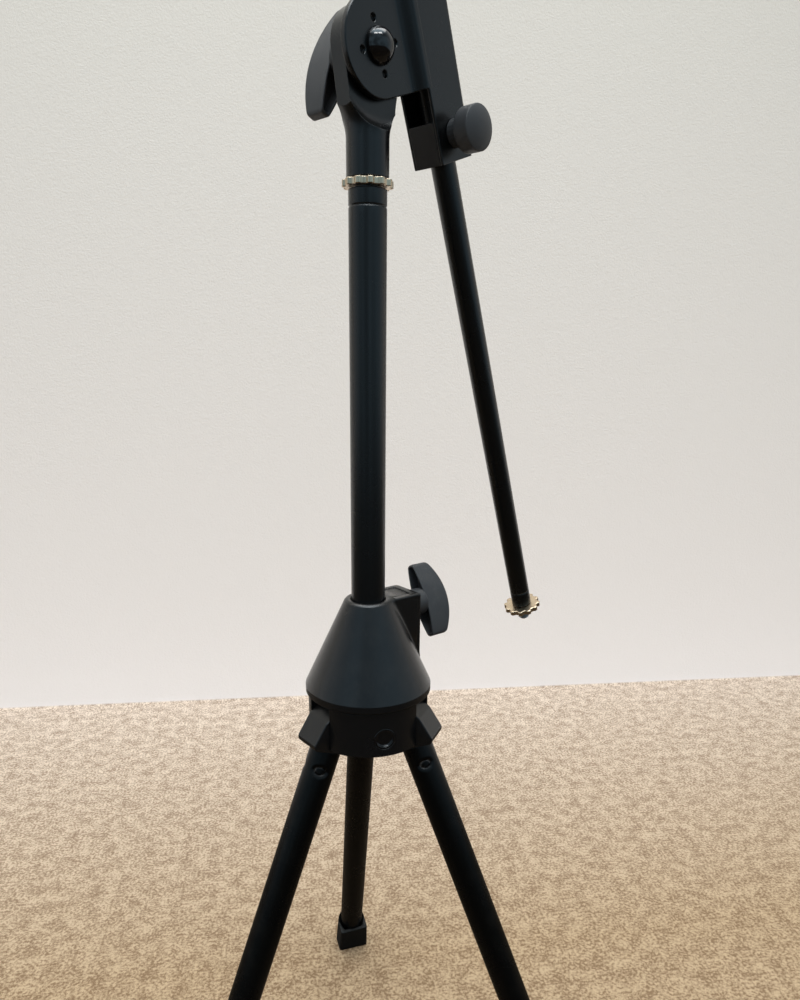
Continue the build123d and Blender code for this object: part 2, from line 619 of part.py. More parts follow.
def handle_washer():
    ring = crosswise_rod(WING_HUB_RADIUS, EAR_BACK, EAR_BACK + HANDLE_WASHER_THICKNESS, 0, 0)
    ring -= crosswise_rod(PIVOT_BOLT_RADIUS + BOLT_RUNNING_CLEARANCE, -THROUGH, THROUGH, 0, 0)
    return HEAD_FRAME * Pos(0, 0, PIVOT_HEIGHT) * ring


def handle_start():
    return EAR_BACK + HANDLE_WASHER_THICKNESS + TILT_HANDLE_GAP


def pivot_bolt():
    """Bolt through plate, washers, ear and handle, square under the dome."""
    end = handle_start() + HANDLE_INSERT_LENGTH
    return CARRIER_FRAME * crosswise_rod(PIVOT_BOLT_RADIUS, PLATE_FRONT, end, 0, 0)


def button(radius, rim, rise):
    """Round button standing on Z = 0: an upright rim, then a dome."""
    side = Polyline((0, 0), (radius, 0), (radius, rim))
    ball = (radius ** 2 + rise ** 2) / (2 * rise)
    half_angle = math.asin(radius / ball) / 2
    middle = (ball * math.sin(half_angle), rim + rise - ball + ball * math.cos(half_angle))
    dome = ThreePointArc((radius, rim), middle, (0, rim + rise))
    return revolve(make_face(Plane.XZ * (side + dome + Line((0, rim + rise), (0, 0)))), Axis.Z)


def facing_out(x, y, height):
    """Frame at a point whose Z points along -Y, away from the plate."""
    return Pos(x, y, height) * Rot(90, 0, 0)


def domed_cap():
    """Smooth dome over the bolt's head on the plate's face."""
    dome = button(DOME_RADIUS, DOME_RIM, DOME_HEIGHT - DOME_RIM)
    return CARRIER_FRAME * facing_out(0, PLATE_FRONT, 0) * dome


def tilt_handle_frame():
    turn = Rot(TILT_HANDLE_TURN, 0, 0)
    return HEAD_FRAME * Pos(0, handle_start(), PIVOT_HEIGHT) * Rot(0, 0, 90) * turn


def tilt_handle():
    knob = wing_knob(TILT_WING_LENGTH, TILT_HANDLE_HUB, HANDLE_INSERT_RADIUS, HANDLE_INSERT_LENGTH)
    return tilt_handle_frame() * knob


def tilt_handle_insert():
    insert = Rot(0, 90, 0) * Cylinder(HANDLE_INSERT_RADIUS, HANDLE_INSERT_LENGTH, align=UPRIGHT)
    bore = PIVOT_BOLT_RADIUS + BOLT_RUNNING_CLEARANCE
    insert -= Rot(0, 90, 0) * Cylinder(bore, 3 * HANDLE_INSERT_LENGTH)
    return tilt_handle_frame() * insert


def boom_carrier():
    """Channel open towards the mast, with a half-round plate set back from its near wall."""
    back = CARRIER_FRONT + CARRIER_DEPTH
    near = -CARRIER_NEAR
    far = near + CARRIER_WIDTH
    half = CARRIER_HALF_LENGTH
    shell = slab(CARRIER_FRONT, back, near, far, -half, half)
    shell = fillet(shell.edges().filter_by(Axis.Z).group_by(Axis.X)[-1], CARRIER_CORNER)
    near_front = shell.edges().filter_by(Axis.Z).group_by(Axis.X)[0].sort_by(Axis.Y)[0]
    shell = fillet(near_front, CARRIER_EDGE)
    shell -= slab(CARRIER_FRONT - 1, back - CARRIER_WALL, near + CARRIER_WALL, far - CARRIER_WALL,
                  -half - 1, half + 1)
    plate = crosswise_rod(PLATE_RADIUS, PLATE_FRONT, PLATE_BACK, 0, 0)
    plate += slab(0, CARRIER_FRONT + CARRIER_WALL, PLATE_FRONT, PLATE_BACK, -PLATE_RADIUS, PLATE_RADIUS)
    step = slab(CARRIER_FRONT, CARRIER_FRONT + CARRIER_WALL, near + CARRIER_EDGE, PLATE_BACK,
                -PLATE_RADIUS, PLATE_RADIUS)
    body = shell + plate + step
    body -= crosswise_rod(PIVOT_BOLT_RADIUS, -THROUGH, THROUGH, 0, 0)
    for index in range(PLATE_HOLES):
        turn = Rot(0, index * 360.0 / PLATE_HOLES, 0)
        hole = crosswise_rod(PLATE_HOLE_RADIUS, PLATE_FRONT - 1, PLATE_BACK + 1, PLATE_HOLE_CIRCLE, 0)
        body -= turn * hole
    body -= crosswise_rod(KNOB_SCREW_RADIUS + STUD_HOLE_CLEARANCE, near - 1, near + CARRIER_WALL + 1,
                          BOOM_AXIS_OFFSET, -ROUND_KNOB_DROP)
    return CARRIER_FRAME * body


def guide_block(low, high):
    """Plastic block that fills one end of the channel and guides the boom tube."""
    gap = CARRIER_WALL + BLOCK_SIDE_GAP
    near = -CARRIER_NEAR + gap
    far = -CARRIER_NEAR + CARRIER_WIDTH - gap
    body = slab(CARRIER_FRONT, CARRIER_FRONT + CARRIER_DEPTH - gap, near, far, low, high)
    bore = rod(BOOM_RADIUS + TUBE_RUNNING_CLEARANCE, low - 1, high + 1)
    return body - Pos(BOOM_AXIS_OFFSET, BOOM_SIDE, 0) * bore


def clamp_block():
    """Lower guide block with the hole for the clamp screw and its pad."""
    low = -CARRIER_HALF_LENGTH
    body = guide_block(low, low + BLOCK_LENGTH)
    hole = crosswise_rod(PAD_RADIUS + PAD_GAP, -CARRIER_NEAR, BOOM_SIDE, BOOM_AXIS_OFFSET, -ROUND_KNOB_DROP)
    return CARRIER_FRAME * (body - hole)


def upper_block():
    high = CARRIER_HALF_LENGTH
    return CARRIER_FRAME * guide_block(high - BLOCK_LENGTH, high)


def pad_face():
    """Y value of the clamp pad's face beside the boom tube."""
    return BOOM_SIDE - BOOM_RADIUS - PAD_TUBE_GAP


def clamp_pad():
    pad = crosswise_rod(PAD_RADIUS, pad_face() - PAD_THICKNESS, pad_face(), BOOM_AXIS_OFFSET,
                        -ROUND_KNOB_DROP)
    return CARRIER_FRAME * pad


def boom_knob():
    """Round domed knob on a narrower neck, beside the near wall."""
    start = -CARRIER_NEAR - ROUND_KNOB_GAP
    rim = start - ROUND_KNOB_NECK
    place = (BOOM_AXIS_OFFSET, -ROUND_KNOB_DROP)
    neck = crosswise_rod(ROUND_KNOB_NECK_RADIUS, rim, start, *place)
    cap = facing_out(place[0], rim, place[1]) * button(ROUND_KNOB_RADIUS, ROUND_KNOB_RIM, ROUND_KNOB_DOME)
    screw = crosswise_rod(KNOB_SCREW_RADIUS, start - KNOB_SCREW_IN_KNOB, start, *place)
    return CARRIER_FRAME * (neck + cap - screw)


def boom_knob_screw():
    start = -CARRIER_NEAR - ROUND_KNOB_GAP - KNOB_SCREW_IN_KNOB
    end = pad_face() - PAD_THICKNESS - PAD_GAP
    return CARRIER_FRAME * crosswise_rod(KNOB_SCREW_RADIUS, start, end, BOOM_AXIS_OFFSET, -ROUND_KNOB_DROP)


BOOM_PLACE = CARRIER_FRAME * Pos(BOOM_AXIS_OFFSET, BOOM_SIDE, 0)


def boom_tube():
    body = tube(BOOM_RADIUS, BOOM_RADIUS - BOOM_WALL, -BOOM_BELOW, BOOM_ABOVE)
    low = -BOOM_BELOW + BOOM_GROOVE_RISE
    groove = tube(BOOM_RADIUS + 1, BOOM_RADIUS - BOOM_GROOVE_DEPTH, low, low + BOOM_GROOVE_HEIGHT)
    return BOOM_PLACE * (body - groove)


def boom_thread():
    """Insert in the boom's lower end with the stud for a microphone clip."""
    plug = rod(BOOM_RADIUS - BOOM_WALL, -BOOM_BELOW, -BOOM_BELOW + BOOM_INSERT_DEPTH)
    stud = rod(STUD_RADIUS, -BOOM_BELOW - STUD_LENGTH + STUD_CHAMFER, -BOOM_BELOW)
    tip_low = -BOOM_BELOW - STUD_LENGTH
    tip = cone_step(STUD_RADIUS - STUD_CHAMFER, STUD_RADIUS, tip_low, tip_low + STUD_CHAMFER)
    nut_face = -BOOM_BELOW - LOCK_NUT_GAP - LOCK_NUT_THICKNESS
    half = STUD_RELIEF / 2
    relief = tube(STUD_RADIUS + 1, STUD_RADIUS - STUD_RELIEF_DEPTH, nut_face - half, nut_face + half)
    return BOOM_PLACE * (plug + stud + tip - relief)


def boom_lock_nut():
    low = -BOOM_BELOW - LOCK_NUT_GAP - LOCK_NUT_THICKNESS
    return BOOM_PLACE * Pos(0, 0, low) * lock_nut(STUD_RADIUS + THREAD_RUNNING_CLEARANCE)


def boom_end_cap():
    low = BOOM_ABOVE - CAP_LENGTH + CAP_END
    high = BOOM_ABOVE + CAP_END
    sleeve = rod(BOOM_RADIUS + CAP_WALL, low, high) - rod(BOOM_RADIUS, low - 1, BOOM_ABOVE)
    return BOOM_PLACE * fillet(sleeve.faces().sort_by(Axis.Z)[-1].edges(), CAP_EDGE)


def build():
    """Every node of the stand by name."""
    nodes = {
        "cone_housing": cone_housing(),
        "leg_spider": leg_spider(),
        "upper_mast_bush": upper_bush(),
        "lower_mast_bush": lower_bush(),
        "boss_cover": boss_cover(),
        "clamp_nut": clamp_nut(),
        "clamp_shoe": clamp_shoe(),
        "skirt_plug": skirt_plug(),
        "hub_screws": Compound(around(hub_screw(), 60)),
        "base_knob": base_knob(),
        "base_knob_stud": base_knob_stud(),
        "mast_tube": mast_tube(),
        "mast_thread": mast_thread(),
        "mast_end_plug": mast_end_plug(),
        "mast_lock_nut": mast_lock_nut(),
        "swivel_neck": swivel_neck(),
        "friction_washer": friction_washer(),
        "handle_washer": handle_washer(),
        "pivot_bolt": pivot_bolt(),
        "domed_cap": domed_cap(),
        "tilt_handle": tilt_handle(),
        "tilt_handle_insert": tilt_handle_insert(),
        "boom_carrier": boom_carrier(),
        "clamp_block": clamp_block(),
        "upper_guide_block": upper_block(),
        "boom_clamp_pad": clamp_pad(),
        "boom_knob": boom_knob(),
        "boom_knob_screw": boom_knob_screw(),
        "boom_tube": boom_tube(),
        "boom_thread": boom_thread(),
        "boom_lock_nut": boom_lock_nut(),
        "boom_end_cap": boom_end_cap(),
    }
    for index in range(LEG_COUNT):
        turn = Rot(0, 0, leg_heading(index))
        number = index + 1
        nodes[f"leg_head_{number}"] = turn * LEG_FRAME * leg_head()
        nodes[f"leg_tube_{number}"] = turn * LEG_FRAME * leg_tube()
        nodes[f"leg_pin_{number}"] = turn * hinge_pin()
        nodes[f"foot_{number}"] = turn * foot(FOOT_TWIST[index])
    return nodes


os.makedirs("parts", exist_ok=True)
for name, part in build().items():
    export_step(part, os.path.join("parts", name + ".step"))
print("hinge", round(HINGE_HEIGHT, 3), "cone top", round(CONE_TOP, 3), "pivot", round(PIVOT_HEIGHT, 3))
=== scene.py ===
"""Looks of a folding microphone stand with a boom arm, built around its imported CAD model.

The CAD model gives every place and size: each class below measures its own nodes in a local
frame taken from the joints, then makes its surfaces with numpy and dresses them. Lengths in the
classes are millimetres; Blender objects are in metres.
"""

import json
import logging
import math
from dataclasses import dataclass, replace
from enum import Enum

import bpy
import numpy as np
from mathutils import Matrix, Vector


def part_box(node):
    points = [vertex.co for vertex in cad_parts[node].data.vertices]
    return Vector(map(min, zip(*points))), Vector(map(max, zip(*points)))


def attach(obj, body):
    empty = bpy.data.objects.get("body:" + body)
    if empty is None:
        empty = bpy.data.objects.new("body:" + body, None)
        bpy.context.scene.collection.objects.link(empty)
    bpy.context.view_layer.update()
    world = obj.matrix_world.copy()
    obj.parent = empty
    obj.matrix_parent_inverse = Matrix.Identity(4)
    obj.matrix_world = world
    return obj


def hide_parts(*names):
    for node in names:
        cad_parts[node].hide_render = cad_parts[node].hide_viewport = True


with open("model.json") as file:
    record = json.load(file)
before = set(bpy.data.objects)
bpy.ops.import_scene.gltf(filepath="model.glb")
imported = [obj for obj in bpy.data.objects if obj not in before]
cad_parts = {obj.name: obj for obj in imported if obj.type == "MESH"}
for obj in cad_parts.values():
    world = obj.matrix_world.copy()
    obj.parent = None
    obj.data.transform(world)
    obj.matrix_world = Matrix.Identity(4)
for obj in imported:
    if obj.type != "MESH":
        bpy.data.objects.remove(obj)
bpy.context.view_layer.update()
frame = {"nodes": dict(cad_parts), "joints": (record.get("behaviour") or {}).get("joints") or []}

MM = 0.001
UP = np.array([0.0, 0.0, 1.0])
LOG = logging.getLogger("stand")


# ---------------------------------------------------------------- frames

@dataclass(frozen=True)
class Place:
    """A local frame: an origin in metres and three unit axes.

    Points given to it are in millimetres.
    """
    origin: tuple[float, float, float]
    x_axis: tuple[float, float, float]
    y_axis: tuple[float, float, float]
    z_axis: tuple[float, float, float]

    def axes(self) -> np.ndarray:
        """Matrix whose rows are the three axes."""
        return np.array([self.x_axis, self.y_axis, self.z_axis], float)

    def out(self, points: np.ndarray) -> np.ndarray:
        """Local millimetres to model metres.

        Args:
            points: array whose last axis holds x, y, z.

        Returns:
            Array of the same shape, in metres.
        """
        return np.asarray(self.origin) + (points * MM) @ self.axes()

    def measure(self, node: str) -> tuple[np.ndarray, np.ndarray]:
        """Lowest and highest local corner of a CAD node, in millimetres.

        Args:
            node: name of the CAD node.

        Returns:
            The two corners.
        """
        mesh = frame["nodes"][node].data
        points = np.zeros(len(mesh.vertices) * 3, np.float32)
        mesh.vertices.foreach_get("co", points)
        local = (points.reshape(-1, 3) - np.asarray(self.origin)) @ self.axes().T / MM
        return local.min(0), local.max(0)

    def shifted(self, x: float = 0.0, y: float = 0.0, z: float = 0.0) -> "Place":
        """The same axes at another origin, given in local millimetres."""
        origin = self.out(np.array([x, y, z], float))
        return Place(tuple(origin), self.x_axis, self.y_axis, self.z_axis)


def place_from(origin: np.ndarray, x_axis: np.ndarray, z_axis: np.ndarray) -> Place:
    """Right-handed frame from an origin, an X axis and a Z axis.

    Args:
        origin: place in metres.
        x_axis: direction of X.
        z_axis: direction of Z, square to X.

    Returns:
        The frame.
    """
    x_unit = np.asarray(x_axis, float) / np.linalg.norm(x_axis)
    z_unit = np.asarray(z_axis, float) / np.linalg.norm(z_axis)
    y_unit = np.cross(z_unit, x_unit)
    return Place(tuple(np.asarray(origin, float)), tuple(x_unit), tuple(y_unit), tuple(z_unit))


def joint(name: str) -> dict:
    """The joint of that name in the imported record."""
    return next(one for one in frame["joints"] if one["name"] == name)


def joint_point(name: str) -> np.ndarray:
    """A hinge joint's place, in metres."""
    return np.array(joint(name)["pos_m"], float)


def joint_axis(name: str) -> np.ndarray:
    """A joint's axis as a unit vector."""
    axis = np.array(joint(name)["axis"], float)
    return axis / np.linalg.norm(axis)


# ---------------------------------------------------------------- surfaces

class Ends(Enum):
    """How the first and last rows of a grid are finished."""
    CAPPED = "capped"
    LOOPED = "looped"
    PAIRED = "paired"


def smoothstep(value: np.ndarray) -> np.ndarray:
    """Smooth rise from 0 to 1 as value goes from 0 to 1."""
    share = np.clip(value, 0.0, 1.0)
    return share * share * (3.0 - 2.0 * share)


def softened(corners: np.ndarray, radii: np.ndarray, steps: int = 6, closed: bool = True,
             support: float = 0.25) -> np.ndarray:
    """Outline with rounded corners.

    Each corner becomes an arc tangent to its two sides. The arc's centre lies on the bisector at
    radius / sin(half angle), and its points turn evenly from one tangent point to the other. One
    more point on each side keeps the flats flat when they are shaded smoothly.

    Args:
        corners: corners, with x and z (or x and y) on the last axis; leading axes are a batch.
        radii: radius at each corner, limited by the shorter side.
        steps: points along each arc.
        closed: whether the last corner joins the first.
        support: distance of the extra points from the arc, in millimetres.

    Returns:
        Points of the outline; an open outline keeps its two end points.
    """
    corners = np.asarray(corners, float)
    radii = np.broadcast_to(np.asarray(radii, float), corners.shape[:-1])
    before = np.roll(corners, 1, axis=-2) - corners
    after = np.roll(corners, -1, axis=-2) - corners
    if not closed:
        before, after = before[..., 1:-1, :], after[..., 1:-1, :]
        inner, radii = corners[..., 1:-1, :], radii[..., 1:-1]
    else:
        inner = corners
    before_length = np.linalg.norm(before, axis=-1, keepdims=True)
    after_length = np.linalg.norm(after, axis=-1, keepdims=True)
    to_before, to_after = before / before_length, after / after_length
    cosine = np.clip((to_before * to_after).sum(-1, keepdims=True), -0.9999, 0.9999)
    half_angle = np.arccos(cosine) / 2
    shorter = np.minimum(before_length, after_length)
    setback = np.minimum(radii[..., None] / np.tan(half_angle), 0.46 * shorter)
    start, end = inner + to_before * setback, inner + to_after * setback
    reach = np.minimum(support, 0.2 * (shorter - 2 * setback).clip(0.01))
    share = np.linspace(0.0, 1.0, steps)[:, None]
    bisector = to_before + to_after
    bisector = bisector / np.linalg.norm(bisector, axis=-1, keepdims=True)
    centre = inner + bisector * setback / np.cos(half_angle)
    sweep = (math.pi - 2 * half_angle)[..., None, :]
    from_start = np.sin((1 - share) * sweep) / np.sin(sweep) * (start - centre)[..., None, :]
    from_end = np.sin(share * sweep) / np.sin(sweep) * (end - centre)[..., None, :]
    arc = centre[..., None, :] + from_start + from_end
    first, last = (start + to_before * reach)[..., None, :], (end + to_after * reach)[..., None, :]
    points = np.concatenate([first, arc, last], axis=-2)
    points = points.reshape(*points.shape[:-3], -1, 2)
    if not closed:
        points = np.concatenate([corners[..., :1, :], points, corners[..., -1:, :]], axis=-2)
    return points


def polar(radius: np.ndarray, angle: np.ndarray, height: np.ndarray) -> np.ndarray:
    """Points (radius cos angle, radius sin angle, height)."""
    return np.stack([radius * np.cos(angle), radius * np.sin(angle), height + 0 * angle], axis=-1)


def turned(profile: np.ndarray, columns: int) -> np.ndarray:
    """Surface of revolution about Z.

    The point at row i and angle a is (r_i cos a, r_i sin a, z_i).

    Args:
        profile: rows of radius and height.
        columns: points around.

    Returns:
        Grid of points, rows by columns.
    """
    angle = np.linspace(0.0, 2 * math.pi, columns, endpoint=False)
    return polar(profile[:, :1], angle, profile[:, 1:])


def rod(radius: float, low: float, high: float, columns: int, edge: float = 0.5) -> np.ndarray:
    """Solid round bar on Z with rounded edges: its half section turned about Z."""
    corners = np.array([[0.0, low], [radius, low], [radius, high], [0.0, high]])
    return turned(softened(corners, np.full(4, edge), closed=False)[1:-1], columns)


def drawn_ends(half: float, edge: float, steps: int, between: int) -> tuple[np.ndarray, np.ndarray]:
    """Stations across a piece whose two ends are rounded by a quarter circle.

    Args:
        half: half the width of the piece.
        edge: radius of the quarter circle.
        steps: stations on each quarter circle.
        between: stations on the flat between them.

    Returns:
        Place of each station, and how far its outline is drawn in.
    """
    turn = np.linspace(0.0, math.pi / 2, steps)
    tips, inset = half - edge + edge * np.sin(turn), edge * (1 - np.cos(turn))
    inner = half - edge - 0.4
    return (np.concatenate([-tips[::-1], np.linspace(-inner, inner, between), tips]),
            np.concatenate([inset[::-1], np.zeros(between), inset]))


def carried(rings: np.ndarray, stations: np.ndarray) -> np.ndarray:
    """One outline in X and Y for each station on Z, put together as a grid."""
    return np.concatenate([rings, np.broadcast_to(stations[:, None, None], (*rings.shape[:2], 1))], axis=-1)


def grid_faces(rows: int, columns: int, ends: Ends) -> tuple[np.ndarray, np.ndarray]:
    """Faces of a grid whose columns wrap round.

    Args:
        rows: number of rows.
        columns: number of columns.
        ends: whether the rows wrap too, or each end is closed by a fan to one more vertex, or by
            quads between the first half of the ring and the second half read backwards.

    Returns:
        Quads as an (n, 4) array and triangles as an (m, 3) array of vertex numbers.
    """
    number = np.arange(rows * columns).reshape(rows, columns)
    upper = np.roll(number, -1, axis=0)
    if ends is not Ends.LOOPED:
        number, upper = number[:-1], upper[:-1]
    quads = np.stack([number, np.roll(number, -1, axis=1), np.roll(upper, -1, axis=1), upper], axis=-1)
    if ends is Ends.LOOPED:
        return quads.reshape(-1, 4), np.zeros((0, 3), int)
    top = (rows - 1) * columns
    if ends is Ends.PAIRED:
        near = np.arange(columns // 2 - 1)
        across = columns - 1 - near
        bottom = np.stack([near + 1, near, across, across - 1], axis=-1)
        return np.concatenate([quads.reshape(-1, 4), bottom, top + bottom[:, ::-1]]), np.zeros((0, 3), int)
    around = np.arange(columns)
    following = np.roll(around, -1)
    low_pole = np.full(columns, rows * columns)
    low = np.stack([following, around, low_pole], axis=-1)
    high = np.stack([top + around, top + following, low_pole + 1], axis=-1)
    return quads.reshape(-1, 4), np.concatenate([low, high])


def enclosed(points: np.ndarray, quads: np.ndarray, triangles: np.ndarray) -> float:
    """Signed volume inside the faces: positive when they point outwards."""
    split = np.concatenate([quads[:, [0, 1, 2]], quads[:, [0, 2, 3]], triangles])
    first, second, third = (points[split[:, i]] for i in range(3))
    return float(np.einsum("ij,ij->i", first, np.cross(second, third)).sum() / 6)


def surface_piece(name: str, grid: np.ndarray, place: Place, ends: Ends = Ends.CAPPED) -> bpy.types.Object:
    """Closed mesh piece from a grid of local points.

    Args:
        name: name of the piece.
        grid: rows by columns by x, y, z, in local millimetres.
        place: frame that the grid is given in.
        ends: how the first and last rows are closed.

    Returns:
        The new object, at the origin with its place in its mesh.
    """
    rows, columns = grid.shape[:2]
    quads, triangles = grid_faces(rows, columns, ends)
    points = grid.reshape(-1, 3)
    if ends is Ends.CAPPED:
        points = np.concatenate([points, grid[0].mean(0)[None], grid[-1].mean(0)[None]])
    if enclosed(points, quads, triangles) < 0:
        quads, triangles = quads[:, ::-1], triangles[:, ::-1]
    points = place.out(points)
    mesh = bpy.data.meshes.new(name)
    corner_counts = np.concatenate([np.full(len(quads), 4), np.full(len(triangles), 3)])
    corners = np.concatenate([quads.ravel(), triangles.ravel()])
    mesh.vertices.add(len(points))
    mesh.vertices.foreach_set("co", points.astype(np.float32).ravel())
    mesh.loops.add(len(corners))
    mesh.loops.foreach_set("vertex_index", corners.astype(np.int32))
    mesh.polygons.add(len(corner_counts))
    mesh.polygons.foreach_set("loop_start", (np.cumsum(corner_counts) - corner_counts).astype(np.int32))
    mesh.polygons.foreach_set("use_smooth", np.ones(len(corner_counts), bool))
    mesh.update(calc_edges=True)
    mesh.validate()
    piece = bpy.data.objects.new(name, mesh)
    bpy.context.scene.collection.objects.link(piece)
    return piece


def finish_piece(piece: bpy.types.Object, body: str, slot: "Slot", replaced: tuple[str, ...] = (),
                 finish: "Finish | None" = None) -> None:
    """Puts a piece on its body, gives it its finish and hides what it stands for.

    Args:
        piece: the new piece.
        body: CAD body that carries it.
        slot: material slot of the record.
        replaced: CAD nodes that it replaces.
        finish: a finish of its own, where the slot's does not do.
    """
    piece.data.materials.clear()
    piece.data.materials.append((finish or FINISHES[slot]).material())
    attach(piece, body)
    if replaced:
        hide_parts(*replaced)
    LOG.info("piece %s on %s, %d faces", piece.name, body, len(piece.data.polygons))


def dress_nodes(slot: "Slot", *nodes: str) -> None:
    """Gives CAD nodes that stay in view their finish."""
    for node in nodes:
        mesh = frame["nodes"][node].data
        mesh.materials.clear()
        mesh.materials.append(FINISHES[slot].material())
        LOG.info("node %s keeps its shape, dressed as %s", node, slot.value)


# ---------------------------------------------------------------- finishes

class Slot(Enum):
    """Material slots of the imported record."""
    POWDER_COAT = "powder_coat"
    MOULDED_HOUSING = "moulded_housing"
    KNOB_PLASTIC = "knob_plastic"
    DOME_PLASTIC = "dome_plastic"
    BUSH_PLASTIC = "bush_plastic"
    RUBBER = "rubber"
    NICKEL = "nickel"
    ZINC_STEEL = "zinc_steel"
    BRASS = "brass"


class Net:
    """Short way to lay out and join the nodes of one node tree."""

    def __init__(self, tree: bpy.types.NodeTree) -> None:
        """Keeps the tree that the nodes go into."""
        self.tree = tree

    def add(self, kind: str, values: dict | None = None, **settings: object) -> bpy.types.Node:
        """Adds a node.

        Args:
            kind: Blender's name of the node type.
            values: input socket values or sockets to join, by socket name or number.
            settings: attributes of the node.

        Returns:
            The node.
        """
        node = self.tree.nodes.new(kind)
        for name, value in settings.items():
            setattr(node, name, value)
        for key, value in (values or {}).items():
            self.feed(node.inputs[key], value)
        return node

    def feed(self, socket: bpy.types.NodeSocket, value: object) -> None:
        """Joins a socket to an input, or sets the input's own value."""
        if isinstance(value, bpy.types.NodeSocket):
            self.tree.links.new(value, socket)
        else:
            socket.default_value = value

    def math(self, operation: str, first: object, second: object = 0.0,
             clamp: bool = False) -> bpy.types.NodeSocket:
        """Result of a Math node."""
        node = self.add("ShaderNodeMath", {0: first, 1: second}, operation=operation, use_clamp=clamp)
        return node.outputs[0]

    def noise(self, vector: object, scale: object, detail: float = 2.0,
              rough: float = 0.5) -> bpy.types.NodeSocket:
        """Height of a noise texture with features of about 1 / scale metres."""
        node = self.add("ShaderNodeTexNoise",
                        {"Vector": vector, "Scale": scale, "Detail": detail, "Roughness": rough})
        return node.outputs[0]

    def ramp(self, value: object, low: float, high: float, start: float = 0.0,
             end: float = 1.0) -> bpy.types.NodeSocket:
        """Value mapped from low..high to start..end, held at both ends."""
        node = self.add("ShaderNodeMapRange", {"Value": value, "From Min": low, "From Max": high,
                                               "To Min": start, "To Max": end})
        return node.outputs[0]

    def blend(self, share: object, first: object, second: object, kind: str = "MIX") -> bpy.types.NodeSocket:
        """Colour between two colours; a Mix node has its colours at inputs 6 and 7 and output 2."""
        node = self.add("ShaderNodeMix", data_type="RGBA", blend_type=kind)
        for index, value in ((0, share), (6, first), (7, second)):
            self.feed(node.inputs[index], value)
        return node.outputs[2]


def new_group(name: str, inputs: dict[str, float],
              outputs: dict[str, str]) -> tuple[bpy.types.NodeTree, Net]:
    """Empty shader node group with named sockets.

    Args:
        name: name of the group.
        inputs: number inputs with their usual values.
        outputs: outputs with their socket types.

    Returns:
        The group and the net that lays out its nodes.
    """
    group = bpy.data.node_groups.new(name, "ShaderNodeTree")
    for key, value in inputs.items():
        socket = group.interface.new_socket(key, in_out="INPUT", socket_type="NodeSocketFloat")
        socket.default_value = value
    for key, kind in outputs.items():
        group.interface.new_socket(key, in_out="OUTPUT", socket_type=kind)
    return group, Net(group)


def edge_group() -> bpy.types.NodeTree:
    """Soft edges: a rounded normal, and a mask that is 1 where the rounding turns the surface."""
    group, net = new_group("soft_edges", {"Radius": 0.0006, "Reach": 6.0},
                           {"Normal": "NodeSocketVector", "Edge": "NodeSocketFloat"})
    given = net.add("NodeGroupInput")
    result = net.add("NodeGroupOutput")
    bevel = net.add("ShaderNodeBevel", {"Radius": given.outputs["Radius"]}, samples=4)
    surface = net.add("ShaderNodeNewGeometry")
    turn = net.add("ShaderNodeVectorMath", {0: bevel.outputs[0], 1: surface.outputs["Normal"]},
                   operation="DOT_PRODUCT")
    bend = net.math("SUBTRACT", 1.0, turn.outputs["Value"])
    mask = net.math("MULTIPLY", bend, given.outputs["Reach"], clamp=True)
    net.feed(result.inputs["Normal"], bevel.outputs[0])
    net.feed(result.inputs["Edge"], mask)
    return group


def grain_group() -> bpy.types.NodeTree:
    """Fine surface grain: orange peel at one scale, pits at a third of it, and slow blotches."""
    group, net = new_group("surface_grain", {"Fineness": 1500.0, "Blotches": 18.0, "Pits": 0.3},
                           {"Height": "NodeSocketFloat", "Blotch": "NodeSocketFloat"})
    given = net.add("NodeGroupInput")
    result = net.add("NodeGroupOutput")
    place = net.add("ShaderNodeTexCoord").outputs["Object"]
    peel = net.noise(place, given.outputs["Fineness"], 3.0, 0.55)
    fine = net.math("MULTIPLY", given.outputs["Fineness"], 2.7)
    cells = net.add("ShaderNodeTexVoronoi", {"Vector": place, "Scale": fine},
                    feature="F1").outputs["Distance"]
    pits = net.math("MULTIPLY", net.ramp(cells, 0.05, 0.45), given.outputs["Pits"])
    blotch = net.noise(place, given.outputs["Blotches"], 4.0, 0.6)
    net.feed(result.inputs["Height"], net.math("ADD", peel, pits))
    net.feed(result.inputs["Blotch"], net.ramp(blotch, 0.3, 0.7))
    return group


